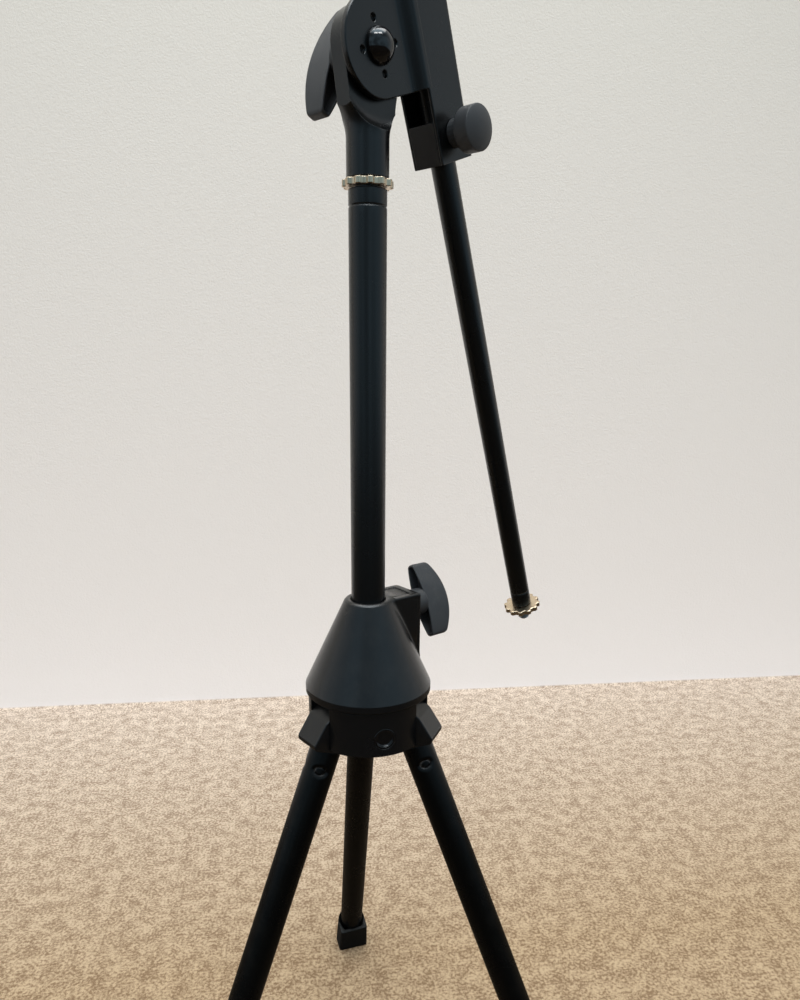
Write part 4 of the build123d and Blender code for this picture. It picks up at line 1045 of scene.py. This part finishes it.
@dataclass
class Leg:
    """One leg: head on its hinge pin, tube with crimp marks and a rubber boot.

    The heel, crown and bevel shape the head's blunt end, which stands upright with the leg out.
    """
    number: int
    twist: float
    slope: float = 67.5
    wall: float = 1.2
    crimp_headings: tuple[float, ...] = (57.0, -57.0)
    crimp_radius: float = 4.3
    crimp_stretch: float = 1.55
    crimp_depth: float = 1.6
    crimp_below: float = 14.5
    neck: tuple[float, float] = (-11.0, 19.3)
    cheek: tuple[float, float] = (15.0, -1.2)
    brow: tuple[float, float] = (8.4, 10.1)
    heel: float = 11.6
    crown: float = 12.0
    bevel: float = 4.0
    head_radii: tuple[float, ...] = (0.8, 4.0, 4.5, 2.0, 1.2, 1.2, 3.0)
    head_edge: float = 0.7
    boot_half: float = 15.0
    boot_flat: float = 14.0
    boot_draft: float = 1.3
    boot_edge: float = 1.6
    sole_edge: float = 2.0
    mouth_flare: float = 2.0
    mouth_depth: float = 6.0

    def place(self) -> Place:
        """Frame on the hinge pin: Y along the pin, Z up the leg."""
        hinge = joint_axis(f"leg_fold_{self.number}")
        outward = np.cross(hinge, UP)
        slope = math.radians(self.slope)
        along = math.sin(slope) * UP - math.cos(slope) * outward
        return place_from(joint_point(f"leg_fold_{self.number}"), np.cross(hinge, along), along)

    def tube(self, place: Place) -> bpy.types.Object:
        """Steel tube with two oval crimp marks just below the leg head."""
        low, high = place.measure(f"leg_tube_{self.number}")
        radius = high[1]
        centre = high[2] - self.crimp_below
        finer_rows = (centre, 12.0, 0.0)
        profile = tube_profile(low[2], high[2], radius, radius - self.wall, 0.4, (finer_rows,))
        spots = tuple((degrees, centre) for degrees in self.crimp_headings)
        grid = dimpled(turned(profile, 120), spots, self.crimp_radius, self.crimp_stretch, self.crimp_depth)
        return surface_piece(f"leg_{self.number}_tube", grid, place, Ends.LOOPED)

    def head(self, place: Place) -> bpy.types.Object:
        """Fork end of the leg: its side outline carried across the pin, drawn in at both sides.

        Each ring is the outline with all its corners moved towards its middle by the edge's fall.
        """
        half = place.measure(f"leg_head_{self.number}")[1][1]
        tube_top = place.measure(f"leg_tube_{self.number}")[1][2]
        lean = math.radians(90 - self.slope)

        def in_leg(x: float, z: float) -> tuple[float, float]:
            return x * math.cos(lean) + z * math.sin(lean), z * math.cos(lean) - x * math.sin(lean)

        blunt = ((self.bevel - self.heel, self.crown), (-self.heel, self.crown - self.bevel),
                 (-self.heel, 0.0))
        corners = np.array([(self.neck[0], tube_top), (self.neck[1], tube_top), self.cheek, self.brow,
                            *(in_leg(*corner) for corner in blunt)])
        outline = softened(corners, np.array(self.head_radii), steps=8)
        middle = corners.mean(0)
        size = np.linalg.norm(outline - middle, axis=-1, keepdims=True)
        y, fall = drawn_ends(half, self.head_edge, 6, 3)
        ring = middle + (outline - middle)[None] * ((size - fall[:, None, None]) / size)
        grid = np.stack([ring[..., 0], y[:, None] + 0 * ring[..., 0], ring[..., 1]], axis=-1)
        return surface_piece(f"leg_{self.number}_head", grid, place)

    def outline(self) -> np.ndarray:
        """D-shaped outline: a half round back, and a flat inner side with soft corners."""
        half, flat = self.boot_half, self.boot_flat
        angle = np.linspace(-math.pi / 2, math.pi / 2, 41)
        back = np.stack([half * np.cos(angle), half * np.sin(angle)], axis=-1)
        front = softened(np.array([[0.0, half], [-flat, half], [-flat, -half], [0.0, -half]]),
                         np.array([0.0, 2.6, 2.6, 0.0]), closed=False)
        return np.concatenate([back, front[1:-1]])

    def boot(self, place: Place) -> bpy.types.Object:
        """Boot as a stack of rings: out of the socket, over the flared mouth, down to the level sole.

        The outside tapers by the draft from the sole to the mouth.
        """
        top = place.measure(f"foot_{self.number}")[1][2]
        tube_low, tube_high = place.measure(f"leg_tube_{self.number}")
        turn = math.radians(self.twist)
        spin = np.array([[math.cos(turn), math.sin(turn)], [-math.sin(turn), math.cos(turn)]])
        outline = self.outline() @ spin
        heading = np.arctan2(outline[:, 1], outline[:, 0])
        circle = np.stack([np.cos(heading), np.sin(heading)], axis=-1)
        bore, seat, mouth = tube_high[1] + 0.05, tube_low[2], top - self.mouth_depth
        flare = bore + self.mouth_flare
        rings = [closed_ring(circle * radius, height) for radius, height in (
            (bore * 0.4, seat), (bore - 0.4, seat), (bore, seat + 0.4), (bore, mouth - 0.3),
            (bore + 0.05, mouth), (bore + self.mouth_flare * 0.5, top - self.mouth_depth * 0.5),
            (flare - 0.1, top - 0.45), (flare + 0.12, top - 0.12), (flare + 0.5, top))]
        size = np.linalg.norm(outline, axis=-1, keepdims=True)

        def inset(amount: float) -> np.ndarray:
            return outline * (size - amount) / size

        rounding = self.boot_edge * 0.5
        for angle in np.linspace(0.12, 1.0, 7) * math.pi / 2:
            drawn = self.boot_draft + rounding * (1 - math.sin(angle))
            rings.append(closed_ring(inset(drawn), top - rounding * (1 - math.cos(angle))))
        cut = self.floor_level(place, outline)
        start = rings[-1][:, 2].mean()
        for share in np.linspace(0.08, 1.0, 9):
            height = start + (cut + self.sole_edge - start) * share
            rings.append(closed_ring(inset(self.boot_draft * (1 - share)), height))
        for angle in np.linspace(0.15, 1.0, 7) * math.pi / 2:
            ring = inset(self.sole_edge * (1 - math.cos(angle)))
            level = self.floor_level(place, ring)
            rings.append(closed_ring(ring, level + self.sole_edge * (1 - math.sin(angle))))
        for share in (0.6, 0.2):
            rings.append(closed_ring(outline * share, self.floor_level(place, outline * share)))
        return surface_piece(f"leg_{self.number}_boot", np.stack(rings), place)

    def floor_level(self, place: Place, ring: np.ndarray) -> np.ndarray:
        """Local height of the floor under each point of a ring.

        The floor cuts the leg's frame at (-origin_z - x * x_axis_z - y * y_axis_z) / z_axis_z.
        """
        aside = ring @ np.array([place.x_axis[2], place.y_axis[2]])
        return (-place.origin[2] / MM - aside) / place.z_axis[2]

    def build(self) -> list[bpy.types.Object]:
        """Makes and dresses the leg."""
        place, body = self.place(), f"leg_{self.number}"
        head, tube, boot = self.head(place), self.tube(place), self.boot(place)
        finish_piece(head, body, Slot.MOULDED_HOUSING, (f"leg_head_{self.number}",))
        # The leg tube takes the darker painted-shade copy of the powder coat.
        finish_piece(tube, body, Slot.POWDER_COAT, (f"leg_tube_{self.number}",), LEG_COAT_PAINTED_SHADE)
        finish_piece(boot, body, Slot.RUBBER, (f"foot_{self.number}",))
        return [head, tube, boot]


# ---------------------------------------------------------------- hub

@dataclass
class Hub:
    """Conical cover with its clamp boss, over the three-way skirt that holds the legs."""
    cone_tip: float = 16.6
    wall: float = 3.2
    band: float = 4.6
    chamfer: float = 1.6
    lip: float = 1.4
    boss_length: float = 36.0
    boss_half: float = 13.5
    boss_height: float = 48.0
    boss_start: float = 14.1
    boss_corner: float = 3.0
    boss_edge: float = 0.9
    fillet: float = 3.0
    mast_hole: float = 12.1
    bush_room: float = 13.6
    bush_depth: float = 25.0
    shelf: float = 24.3
    top_plate: float = 2.8
    recess: tuple[float, float, float] = (14.6, 30.6, 9.0)
    cover_gap: float = 0.45
    plug_rise: float = 0.6
    plug_bead: float = 1.5
    plug_dish: float = 1.4

    def boss_place(self) -> Place:
        """Frame on the mast axis at floor level, X along the clamp screw."""
        return place_from(np.zeros(3), joint_axis("base_clamp_turn"), UP)

    def ray_to_boss(self, heading: np.ndarray, inset: float) -> np.ndarray:
        """Distance from the mast axis to the boss's sides along a heading from its middle.

        It is the smaller of length / cos and half width / sin, and 0 behind the axis.
        """
        along, aside = np.cos(heading), np.abs(np.sin(heading))
        ahead = np.maximum(along, 1e-3)
        reach = np.minimum((self.boss_length - inset) / ahead,
                           (self.boss_half - inset) / np.maximum(aside, 1e-3))
        return np.where(along > 0.02, reach, 0.0)

    def headings(self, count: int) -> np.ndarray:
        """Headings round the mast, three times as close together beside the boss."""
        fine = np.linspace(-math.pi, math.pi, 2000)
        density = 1 + 3 * np.exp(-(fine / 0.75) ** 4)
        total = np.concatenate([[0.0], np.cumsum((density[1:] + density[:-1]) / 2)])
        wanted = np.linspace(0.0, total[-1], count, endpoint=False)
        return np.interp(wanted, total, fine)

    def cone(self, place: Place) -> bpy.types.Object:
        """Cone cover as one closed shell of rings.

        Outside, the distance from the axis is the smooth maximum of the cone and of the ray to the
        boss: the larger one, plus fillet * (1 - difference / fillet)^2 / 4 where they come close.
        """
        low, high = place.measure("cone_housing")
        foot, top = low[2], high[2]
        base, tip = high[1], self.cone_tip
        band_top, cone_top = foot + self.chamfer + self.band, top - self.lip
        heading = self.headings(300)
        corners = np.array([[base - self.chamfer, foot], [base, foot + self.chamfer], [base, band_top],
                            [tip, cone_top], [tip - self.lip, top]])
        steps = 7
        soft = softened(corners, np.array([0.0, 0.8, 0.9, 1.6, 0.0]), steps, closed=False, support=0.5)
        slant = np.linspace(0.04, 0.97, 54)[:, None]
        middle = corners[2] + slant * (corners[3] - corners[2])
        split = 1 + 2 * (steps + 2)     # the foot, and two rounded corners with their extra points
        profile = np.concatenate([soft[:split], middle, soft[split:]])
        cone = profile[:, :1] + 0 * heading
        box = self.ray_to_boss(heading, 0.06)[None, :] * (profile[:, 1:] > top - self.boss_height)
        apart = np.clip(1 - np.abs(cone - box) / self.fillet, 0.0, None)
        reach = np.maximum(cone, box) + self.fillet * apart ** 2 / 4
        hole, under, shelf = self.mast_hole, top - self.top_plate, top - self.bush_depth
        inner = np.array([
            (hole + 1.6, top), (hole + 0.5, top), (hole + 0.15, top - 0.15), (hole, top - 0.5),
            (hole, under), (self.bush_room, under), (self.bush_room, shelf), (self.shelf, shelf),
            (base - self.wall, band_top), (base - self.wall, foot)])
        grid = np.concatenate([polar(reach, heading, profile[:, 1:]),
                               polar(inner[:, :1], heading, inner[:, 1:])])
        inside = smoothstep((grid[..., 0] - self.boss_start - 0.05) / 0.5)
        inside = inside * smoothstep((self.boss_half - np.abs(grid[..., 1])) / 0.3 + 0.6)
        near_top = grid[..., 2] > top - 2.5
        grid[..., 2] -= np.where(near_top & (grid[..., 0] > 0), 0.5 * inside, 0.0)
        return surface_piece("cone_cover", grid, place, Ends.LOOPED)

    def boss(self, place: Place) -> bpy.types.Object:
        """Clamp boss: a rounded box whose top has a sunk rectangle for the cover plate."""
        top = place.measure("cone_housing")[1][2]
        start, end, half = self.boss_start, self.boss_length, self.boss_half

        def side(inset: float) -> np.ndarray:
            return rectangle(start, end - inset, half - inset, 0.05, self.boss_corner - inset * 0.5)

        rings = [closed_ring(side(0.0), height) for height in
                 (top - self.boss_height, top - self.boss_height * 0.5, top - self.boss_edge - 0.2)]
        for angle in np.linspace(0.0, 1.0, 6) * math.pi / 2:
            rings.append(closed_ring(side(self.boss_edge * (1 - math.cos(angle))),
                                     top - self.boss_edge * (1 - math.sin(angle))))
        near, far, wide = self.recess
        depth = top - place.measure("boss_cover")[0][2]
        for grow, height in ((0.45, top), (0.12, top - 0.1), (0.0, top - 0.4), (0.0, top - depth + 0.1),
                             (-0.15, top - depth)):
            recess = rectangle(near - min(grow, 0.3), far + grow, wide + grow, 0.8, 0.8)
            rings.append(closed_ring(recess, height))
        return surface_piece("clamp_boss", np.stack(rings), place)

    def cover(self, place: Place) -> bpy.types.Object:
        """Cover plate that lies in the boss's top with an even gap round it."""
        low, high = place.measure("boss_cover")
        gap, edge = self.cover_gap, 0.35
        near, far, wide = low[0] + gap, high[0] - gap, high[1] - gap

        def plate(inset: float) -> np.ndarray:
            return rectangle(near + inset, far - inset, wide - inset, 0.9, 0.9)

        rings = [closed_ring(plate(0.3), low[2] + 0.02), closed_ring(plate(0.0), low[2] + 0.3),
                 closed_ring(plate(0.0), high[2] - edge)]
        for angle in np.linspace(0.2, 1.0, 5) * math.pi / 2:
            rings.append(closed_ring(plate(edge * (1 - math.cos(angle))),
                                     high[2] - edge * (1 - math.sin(angle))))
        rings.append(closed_ring(plate(1.2), high[2]))
        return surface_piece("cover_plate", np.stack(rings), place)

    def plug(self) -> bpy.types.Object:
        """Round cap in the skirt: a raised bead round a dished face, turned about its own axis."""
        low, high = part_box("skirt_plug")
        middle = (np.array(low) + np.array(high)) / 2
        outward = np.array([middle[0], middle[1], 0.0])
        place = place_from(np.array([0.0, 0.0, middle[2]]), outward, UP)
        low, high = place.measure("skirt_plug")
        radius, face, back = high[2] - 0.05, high[0] + self.plug_rise, low[0]
        bead, dish = radius - self.plug_bead, face - self.plug_dish
        corners = np.array([[0.0, back], [radius, back], [radius, face], [bead, face],
                            [bead - 0.5, dish], [0.0, dish + 0.5]])
        profile = softened(corners, np.array([0, 0.3, 0.75, 0.5, 0.8, 0]), closed=False)[1:-1]
        return surface_piece("skirt_cap", turned(profile, 72)[..., [2, 0, 1]], place)

    def build(self) -> list[bpy.types.Object]:
        """Makes and dresses the hub."""
        place = self.boss_place()
        cone, boss, cover, plug = self.cone(place), self.boss(place), self.cover(place), self.plug()
        finish_piece(plug, "hub", Slot.DOME_PLASTIC, ("skirt_plug",))
        finish_piece(cone, "hub", Slot.MOULDED_HOUSING, ("cone_housing",))
        finish_piece(boss, "hub", Slot.MOULDED_HOUSING)
        finish_piece(cover, "hub", Slot.KNOB_PLASTIC, ("boss_cover",))
        dress_nodes(Slot.MOULDED_HOUSING, "leg_spider")
        dress_nodes(Slot.BUSH_PLASTIC, "upper_mast_bush", "lower_mast_bush")
        dress_nodes(Slot.ZINC_STEEL, "clamp_nut", "hub_screws", "leg_pin_1", "leg_pin_2", "leg_pin_3",
                    "base_knob_stud")
        dress_nodes(Slot.BRASS, "clamp_shoe")
        return [cone, boss, cover, plug]


# ---------------------------------------------------------------- mast and head

@dataclass
class Mast:
    """Upright tube with a rolled ring near its top, its screw and the lobed ring nut."""
    groove_drop: float = 9.3
    groove_width: float = 1.8
    groove_depth: float = 0.45
    wall: float = 1.2
    thread_radius: float = 7.9
    thread_depth: float = 0.5
    thread_sunk: float = 6.0
    pitch: float = 0.94
    lobes: int = 12
    nut_root: float = 13.4
    nut_bore: float = 7.95

    def build(self) -> list[bpy.types.Object]:
        """Makes and dresses the mast."""
        place = place_from(np.zeros(3), np.array([1.0, 0.0, 0.0]), UP)
        low, high = place.measure("mast_tube")
        top, bore = high[2], high[0] - self.wall
        groove = (top - self.groove_drop, self.groove_width, self.groove_depth)
        profile = tube_profile(low[2], top, high[0], bore, 0.55, (groove,))
        tube = surface_piece("mast_post", turned(profile, 120), place, Ends.LOOPED)
        screw_low, screw_high = place.measure("mast_thread")
        thread = threaded(top - self.thread_sunk, screw_high[2], self.thread_radius, self.pitch,
                          self.thread_depth, 1.2)
        screw = surface_piece("mast_screw", thread, place)
        plug = surface_piece("mast_screw_plug", rod(bore, screw_low[2], top - 0.3, 72), place)
        nut_low, nut_high = place.measure("mast_lock_nut")
        ring = lobed_ring(nut_high[0], self.nut_root, self.nut_bore, nut_high[2] - nut_low[2], self.lobes)
        nut = surface_piece("mast_ring_nut", ring, place.shifted(z=nut_low[2]), Ends.LOOPED)
        finish_piece(tube, "mast", Slot.POWDER_COAT, ("mast_tube",))
        finish_piece(screw, "mast", Slot.ZINC_STEEL, ("mast_thread",))
        finish_piece(plug, "mast", Slot.ZINC_STEEL)
        finish_piece(nut, "mast_lock", Slot.NICKEL, ("mast_lock_nut",))
        dress_nodes(Slot.BUSH_PLASTIC, "mast_end_plug")
        return [tube, screw, plug, nut]


def knob_place(joint_name: str, turn: float) -> Place:
    """Frame of a wing knob: X out along its screw, Z along the wing, turned from upright."""
    out = joint_axis(joint_name)
    aside = np.cross(UP, out)
    turn = math.radians(turn)
    return place_from(joint_point(joint_name), out, math.cos(turn) * UP - math.sin(turn) * aside)


@dataclass
class Head:
    """Swivel neck with its ear, washers and insert, all kept as they are."""

    def build(self) -> list[bpy.types.Object]:
        """Dresses the head."""
        dress_nodes(Slot.POWDER_COAT, "swivel_neck")
        dress_nodes(Slot.BUSH_PLASTIC, "handle_washer", "friction_washer")
        dress_nodes(Slot.BRASS, "tilt_handle_insert")
        dress_nodes(Slot.ZINC_STEEL, "pivot_bolt")
        return []


# ---------------------------------------------------------------- boom

def carrier_place() -> Place:
    """Frame on the tilt pivot: X towards the boom, Y towards the tilt handle, Z up the boom."""
    aside, along = -joint_axis("boom_tilt"), -joint_axis("boom_slide")
    return place_from(joint_point("boom_tilt"), np.cross(aside, along), along)


@dataclass
class Carrier:
    """Pressed channel that holds the boom, with its set-back round plate, cap and round knob."""
    front: float = 28.0
    wall: float = 2.0
    corner: float = 3.0
    end_edge: float = 0.35
    plate_radius: float = 25.0
    plate_front: float = -9.35
    plate_thickness: float = 4.0
    plate_edge: float = 0.7
    bend_start: float = 19.0
    bend_length: float = 9.0
    hole_circle: float = 13.0
    hole_radius: float = 1.9

    def channel(self, place: Place) -> bpy.types.Object:
        """Channel as a stack of U-shaped outlines, drawn in a little at both ends."""
        low, high = place.measure("boom_carrier")
        near, far, back = low[1], high[1], high[0]
        z, e = drawn_ends(high[2], self.end_edge, 5, 14)
        w, front = self.wall, self.front + e
        corners = np.stack([
            np.stack([front, near + e], -1), np.stack([back - e, near + e], -1),
            np.stack([back - e, far - e], -1), np.stack([front, far - e], -1),
            np.stack([front, far - w + e], -1), np.stack([back - w + e, far - w + e], -1),
            np.stack([back - w + e, near + w - e], -1), np.stack([front, near + w - e], -1)], axis=1)
        radii = np.array([0.7, self.corner, self.corner, 0.7, 0.5, 1.4, 1.4, 0.5])
        grid = carried(softened(corners, radii, steps=7), z)
        return surface_piece("boom_channel", grid, place, Ends.PAIRED)

    def plate(self, place: Place) -> bpy.types.Object:
        """Half-round plate that steps out to the channel's near wall in one soft bend.

        Rays from the pivot run to a half circle on one side and to a straight-sided strip on the
        other: the smallest of radius / sin and length / cos. Across the bend the plate moves out
        by a smoothstep of X, and each hole is a round well in both faces.
        """
        near = place.measure("boom_carrier")[0][1]
        length = self.bend_start + self.bend_length + 3.0
        heading = np.linspace(-math.pi, math.pi, 360, endpoint=False)
        corner = math.atan2(self.plate_radius, length)
        for angle in (corner, -corner):
            heading[np.abs(heading - angle).argmin()] = angle
        ray = np.minimum(self.plate_radius / np.maximum(np.abs(np.sin(heading)), 1e-6),
                         length / np.maximum(np.cos(heading), 1e-6))
        ray = np.where(np.abs(heading) >= math.pi / 2, self.plate_radius, ray)
        edge = self.plate_edge
        turn = np.linspace(0.0, math.pi / 2, 6)[1:]
        share = np.linspace(0.06, 1.0, 84)
        radial = np.concatenate([share[:, None] * (ray - edge), ray - edge + edge * np.sin(turn[:, None])])
        skin = np.concatenate([0 * share, edge * (1 - np.cos(turn))])
        sheets = []
        for sign, rays, lift in ((1.0, radial, skin), (-1.0, radial[::-1], skin[::-1])):
            x, z = rays * np.cos(heading), rays * np.sin(heading)
            bend = smoothstep((x - self.bend_start) / self.bend_length)
            if sign > 0:
                surface = self.plate_front - bend * (self.plate_front - near + 0.05)
            else:
                back_start = self.plate_front + self.plate_thickness
                surface = back_start - bend * (back_start - near - self.wall - 0.05)
            well = np.zeros_like(x)
            for quarter in range(4):
                angle = quarter * math.pi / 2
                away = np.hypot(x - self.hole_circle * math.cos(angle),
                                z - self.hole_circle * math.sin(angle))
                well = np.maximum(well, smoothstep((self.hole_radius + 0.18 - away) / 0.36))
            well = well * (self.plate_thickness / 2 - 0.05)
            y = surface + sign * (lift[:, None] + well)
            sheets.append(np.stack([x, y, z], axis=-1))
        return surface_piece("carrier_plate", np.concatenate(sheets), place)

    def cap(self, place: Place) -> bpy.types.Object:
        """Domed cap on the plate: a short upright rim, then a dome that is a part of a sphere."""
        low, high = place.measure("domed_cap")
        radius, height, rim = high[2], high[1] - low[1], 1.5
        rise = height - rim
        ball = (radius ** 2 + rise ** 2) / (2 * rise)
        turn = np.linspace(math.asin(min(radius / ball, 1.0)), 0.02, 28)
        dome = np.stack([ball * np.sin(turn), rim + rise - ball + ball * np.cos(turn)], axis=-1)
        foot = np.array([[radius - 0.3, 0.0], [radius, 0.25], [radius, 0.6], [radius, rim - 0.2]])
        out = place_from(place.out(np.array([0.0, high[1], 0.0])), place.x_axis, -np.array(place.y_axis))
        return surface_piece("pivot_cap", turned(np.concatenate([foot, dome]), 96), out)

    def knob(self) -> bpy.types.Object:
        """Round knob: a ribbed neck, a disc with soft edges and a low dome on top.

        Around the neck the radius swings by a cosine of the angle times the number of ribs.
        """
        out = joint_axis("boom_clamp_turn")
        place = place_from(joint_point("boom_clamp_turn"), joint_axis("boom_slide"), out)
        low, high = place.measure("boom_knob")
        place = place.shifted(z=low[2])
        radius, total, neck, dome = high[0], high[2] - low[2], 9.0, 3.0
        ball = (radius ** 2 + dome ** 2) / (2 * dome)
        turn = np.linspace(math.asin((radius - 1.0) / ball), 0.02, 18)
        face = np.stack([ball * np.sin(turn), total - ball + ball * np.cos(turn)], axis=-1)
        corners = np.array([[3.2, 0.0], [8.0, 0.0], [8.0, neck], [radius - 0.3, neck],
                            [radius, neck + 1.2], [radius, total - dome], [radius - 1.0, face[0, 1]]])
        profile = softened(corners, np.array([0.0, 0.5, 0.8, 0.7, 0.8, 1.1, 0.0]), closed=False)
        profile = np.concatenate([profile[:-1], face])
        columns, ribs = 160, 20
        grid = turned(profile, columns)
        angle = np.linspace(0.0, 2 * math.pi, columns, endpoint=False)
        ribbed = smoothstep((grid[..., 2] - 0.6) / 0.8) * smoothstep((neck - 0.6 - grid[..., 2]) / 0.8)
        swing = 1 - ribbed * 0.045 * (0.5 - 0.5 * np.cos(ribs * angle))
        grid[..., :2] *= np.where(np.linalg.norm(grid[..., :2], axis=-1) > 7.0, swing, 1.0)[..., None]
        return surface_piece("boom_round_knob", grid, place)

    def build(self) -> list[bpy.types.Object]:
        """Makes and dresses the carrier."""
        place = carrier_place()
        channel, plate = self.channel(place), self.plate(place)
        cap, knob = self.cap(place), self.knob()
        finish_piece(channel, "carrier", Slot.POWDER_COAT, ("boom_carrier",))
        finish_piece(plate, "carrier", Slot.POWDER_COAT)
        finish_piece(cap, "carrier", Slot.DOME_PLASTIC, ("domed_cap",))
        finish_piece(knob, "boom_clamp", Slot.KNOB_PLASTIC, ("boom_knob",))
        dress_nodes(Slot.MOULDED_HOUSING, "clamp_block", "upper_guide_block")
        dress_nodes(Slot.BRASS, "boom_clamp_pad")
        dress_nodes(Slot.ZINC_STEEL, "boom_knob_screw")
        return [channel, plate, cap, knob]


@dataclass
class Boom:
    """Long thin tube with an end cap, and a ring nut and screw at the other end."""
    wall: float = 1.0
    groove_rise: float = 12.7
    groove_width: float = 1.6
    groove_depth: float = 0.35
    stud_radius: float = 4.76
    thread_depth: float = 0.85
    thread_sunk: float = 6.0
    pitch: float = 1.5875
    plug_radius: float = 7.0
    lobes: int = 12
    nut_root: float = 13.4
    nut_bore: float = 4.85
    cap_bore: float = 8.03
    cap_crown: float = 0.6

    def build(self) -> list[bpy.types.Object]:
        """Makes and dresses the boom."""
        carrier = carrier_place()
        low, high = carrier.measure("boom_tube")
        place = carrier.shifted(x=(low[0] + high[0]) / 2, y=(low[1] + high[1]) / 2)
        low, high = place.measure("boom_tube")
        groove = (low[2] + self.groove_rise, self.groove_width, self.groove_depth)
        profile = tube_profile(low[2], high[2], high[0], high[0] - self.wall, 0.4, (groove,))
        tube = surface_piece("boom_pipe", turned(profile, 96), place, Ends.LOOPED)
        down = place_from(np.array(place.origin), np.array(place.x_axis), -np.array(place.z_axis))
        tube_end = -low[2]
        stud_low, stud_high = down.measure("boom_thread")
        thread = threaded(tube_end - self.thread_sunk, stud_high[2], self.stud_radius, self.pitch,
                          self.thread_depth, 1.2, 56)
        screw = surface_piece("boom_screw", thread, down)
        plug = surface_piece("boom_screw_plug", rod(self.plug_radius, stud_low[2], tube_end - 0.3, 64), down)
        nut_low, nut_high = down.measure("boom_lock_nut")
        ring = lobed_ring(nut_high[0], self.nut_root, self.nut_bore, nut_high[2] - nut_low[2], self.lobes)
        nut = surface_piece("boom_ring_nut", ring, down.shifted(z=nut_low[2]), Ends.LOOPED)
        cap = self.cap(place, high[2])
        finish_piece(tube, "boom", Slot.POWDER_COAT, ("boom_tube",))
        finish_piece(screw, "boom", Slot.ZINC_STEEL, ("boom_thread",))
        finish_piece(plug, "boom", Slot.ZINC_STEEL)
        finish_piece(nut, "boom_lock", Slot.NICKEL, ("boom_lock_nut",))
        finish_piece(cap, "boom", Slot.RUBBER, ("boom_end_cap",))
        return [tube, screw, plug, nut, cap]

    def cap(self, place: Place, tube_end: float) -> bpy.types.Object:
        """Soft cup over the upper end of the tube, slightly crowned."""
        low, high = place.measure("boom_end_cap")
        radius, inner = high[0], self.cap_bore
        corners = np.array([[0.0, tube_end], [inner, tube_end], [inner, low[2]], [radius, low[2]],
                            [radius, high[2] - self.cap_crown], [0.0, high[2]]])
        profile = softened(corners, np.array([0.0, 0.2, 0.4, 0.6, 1.6, 0.0]), closed=False)
        return surface_piece("boom_tip_cap", turned(profile[1:-1], 80), place)


# ---------------------------------------------------------------- the whole stand

def main() -> None:
    logging.basicConfig(level=logging.INFO, format="%(name)s: %(message)s")
    Studio().build()
    twists = {1: 9.0, 2: 0.0, 3: 0.0}
    pieces = [piece for number, twist in twists.items() for piece in Leg(number, twist).build()]
    pieces += Hub().build()
    pieces += WingKnob("base_knob", "base_clamp", knob_place("base_clamp_turn", -28.0), 10.6).build()
    pieces += Mast().build()
    pieces += Head().build()
    pieces += WingKnob("tilt_handle", "tilt_clamp", knob_place("tilt_clamp_turn", 23.0), 14.8).build()
    pieces += Carrier().build()
    pieces += Boom().build()
    LOG.info("%d new pieces", len(pieces))


if __name__ == "__main__":
    main()
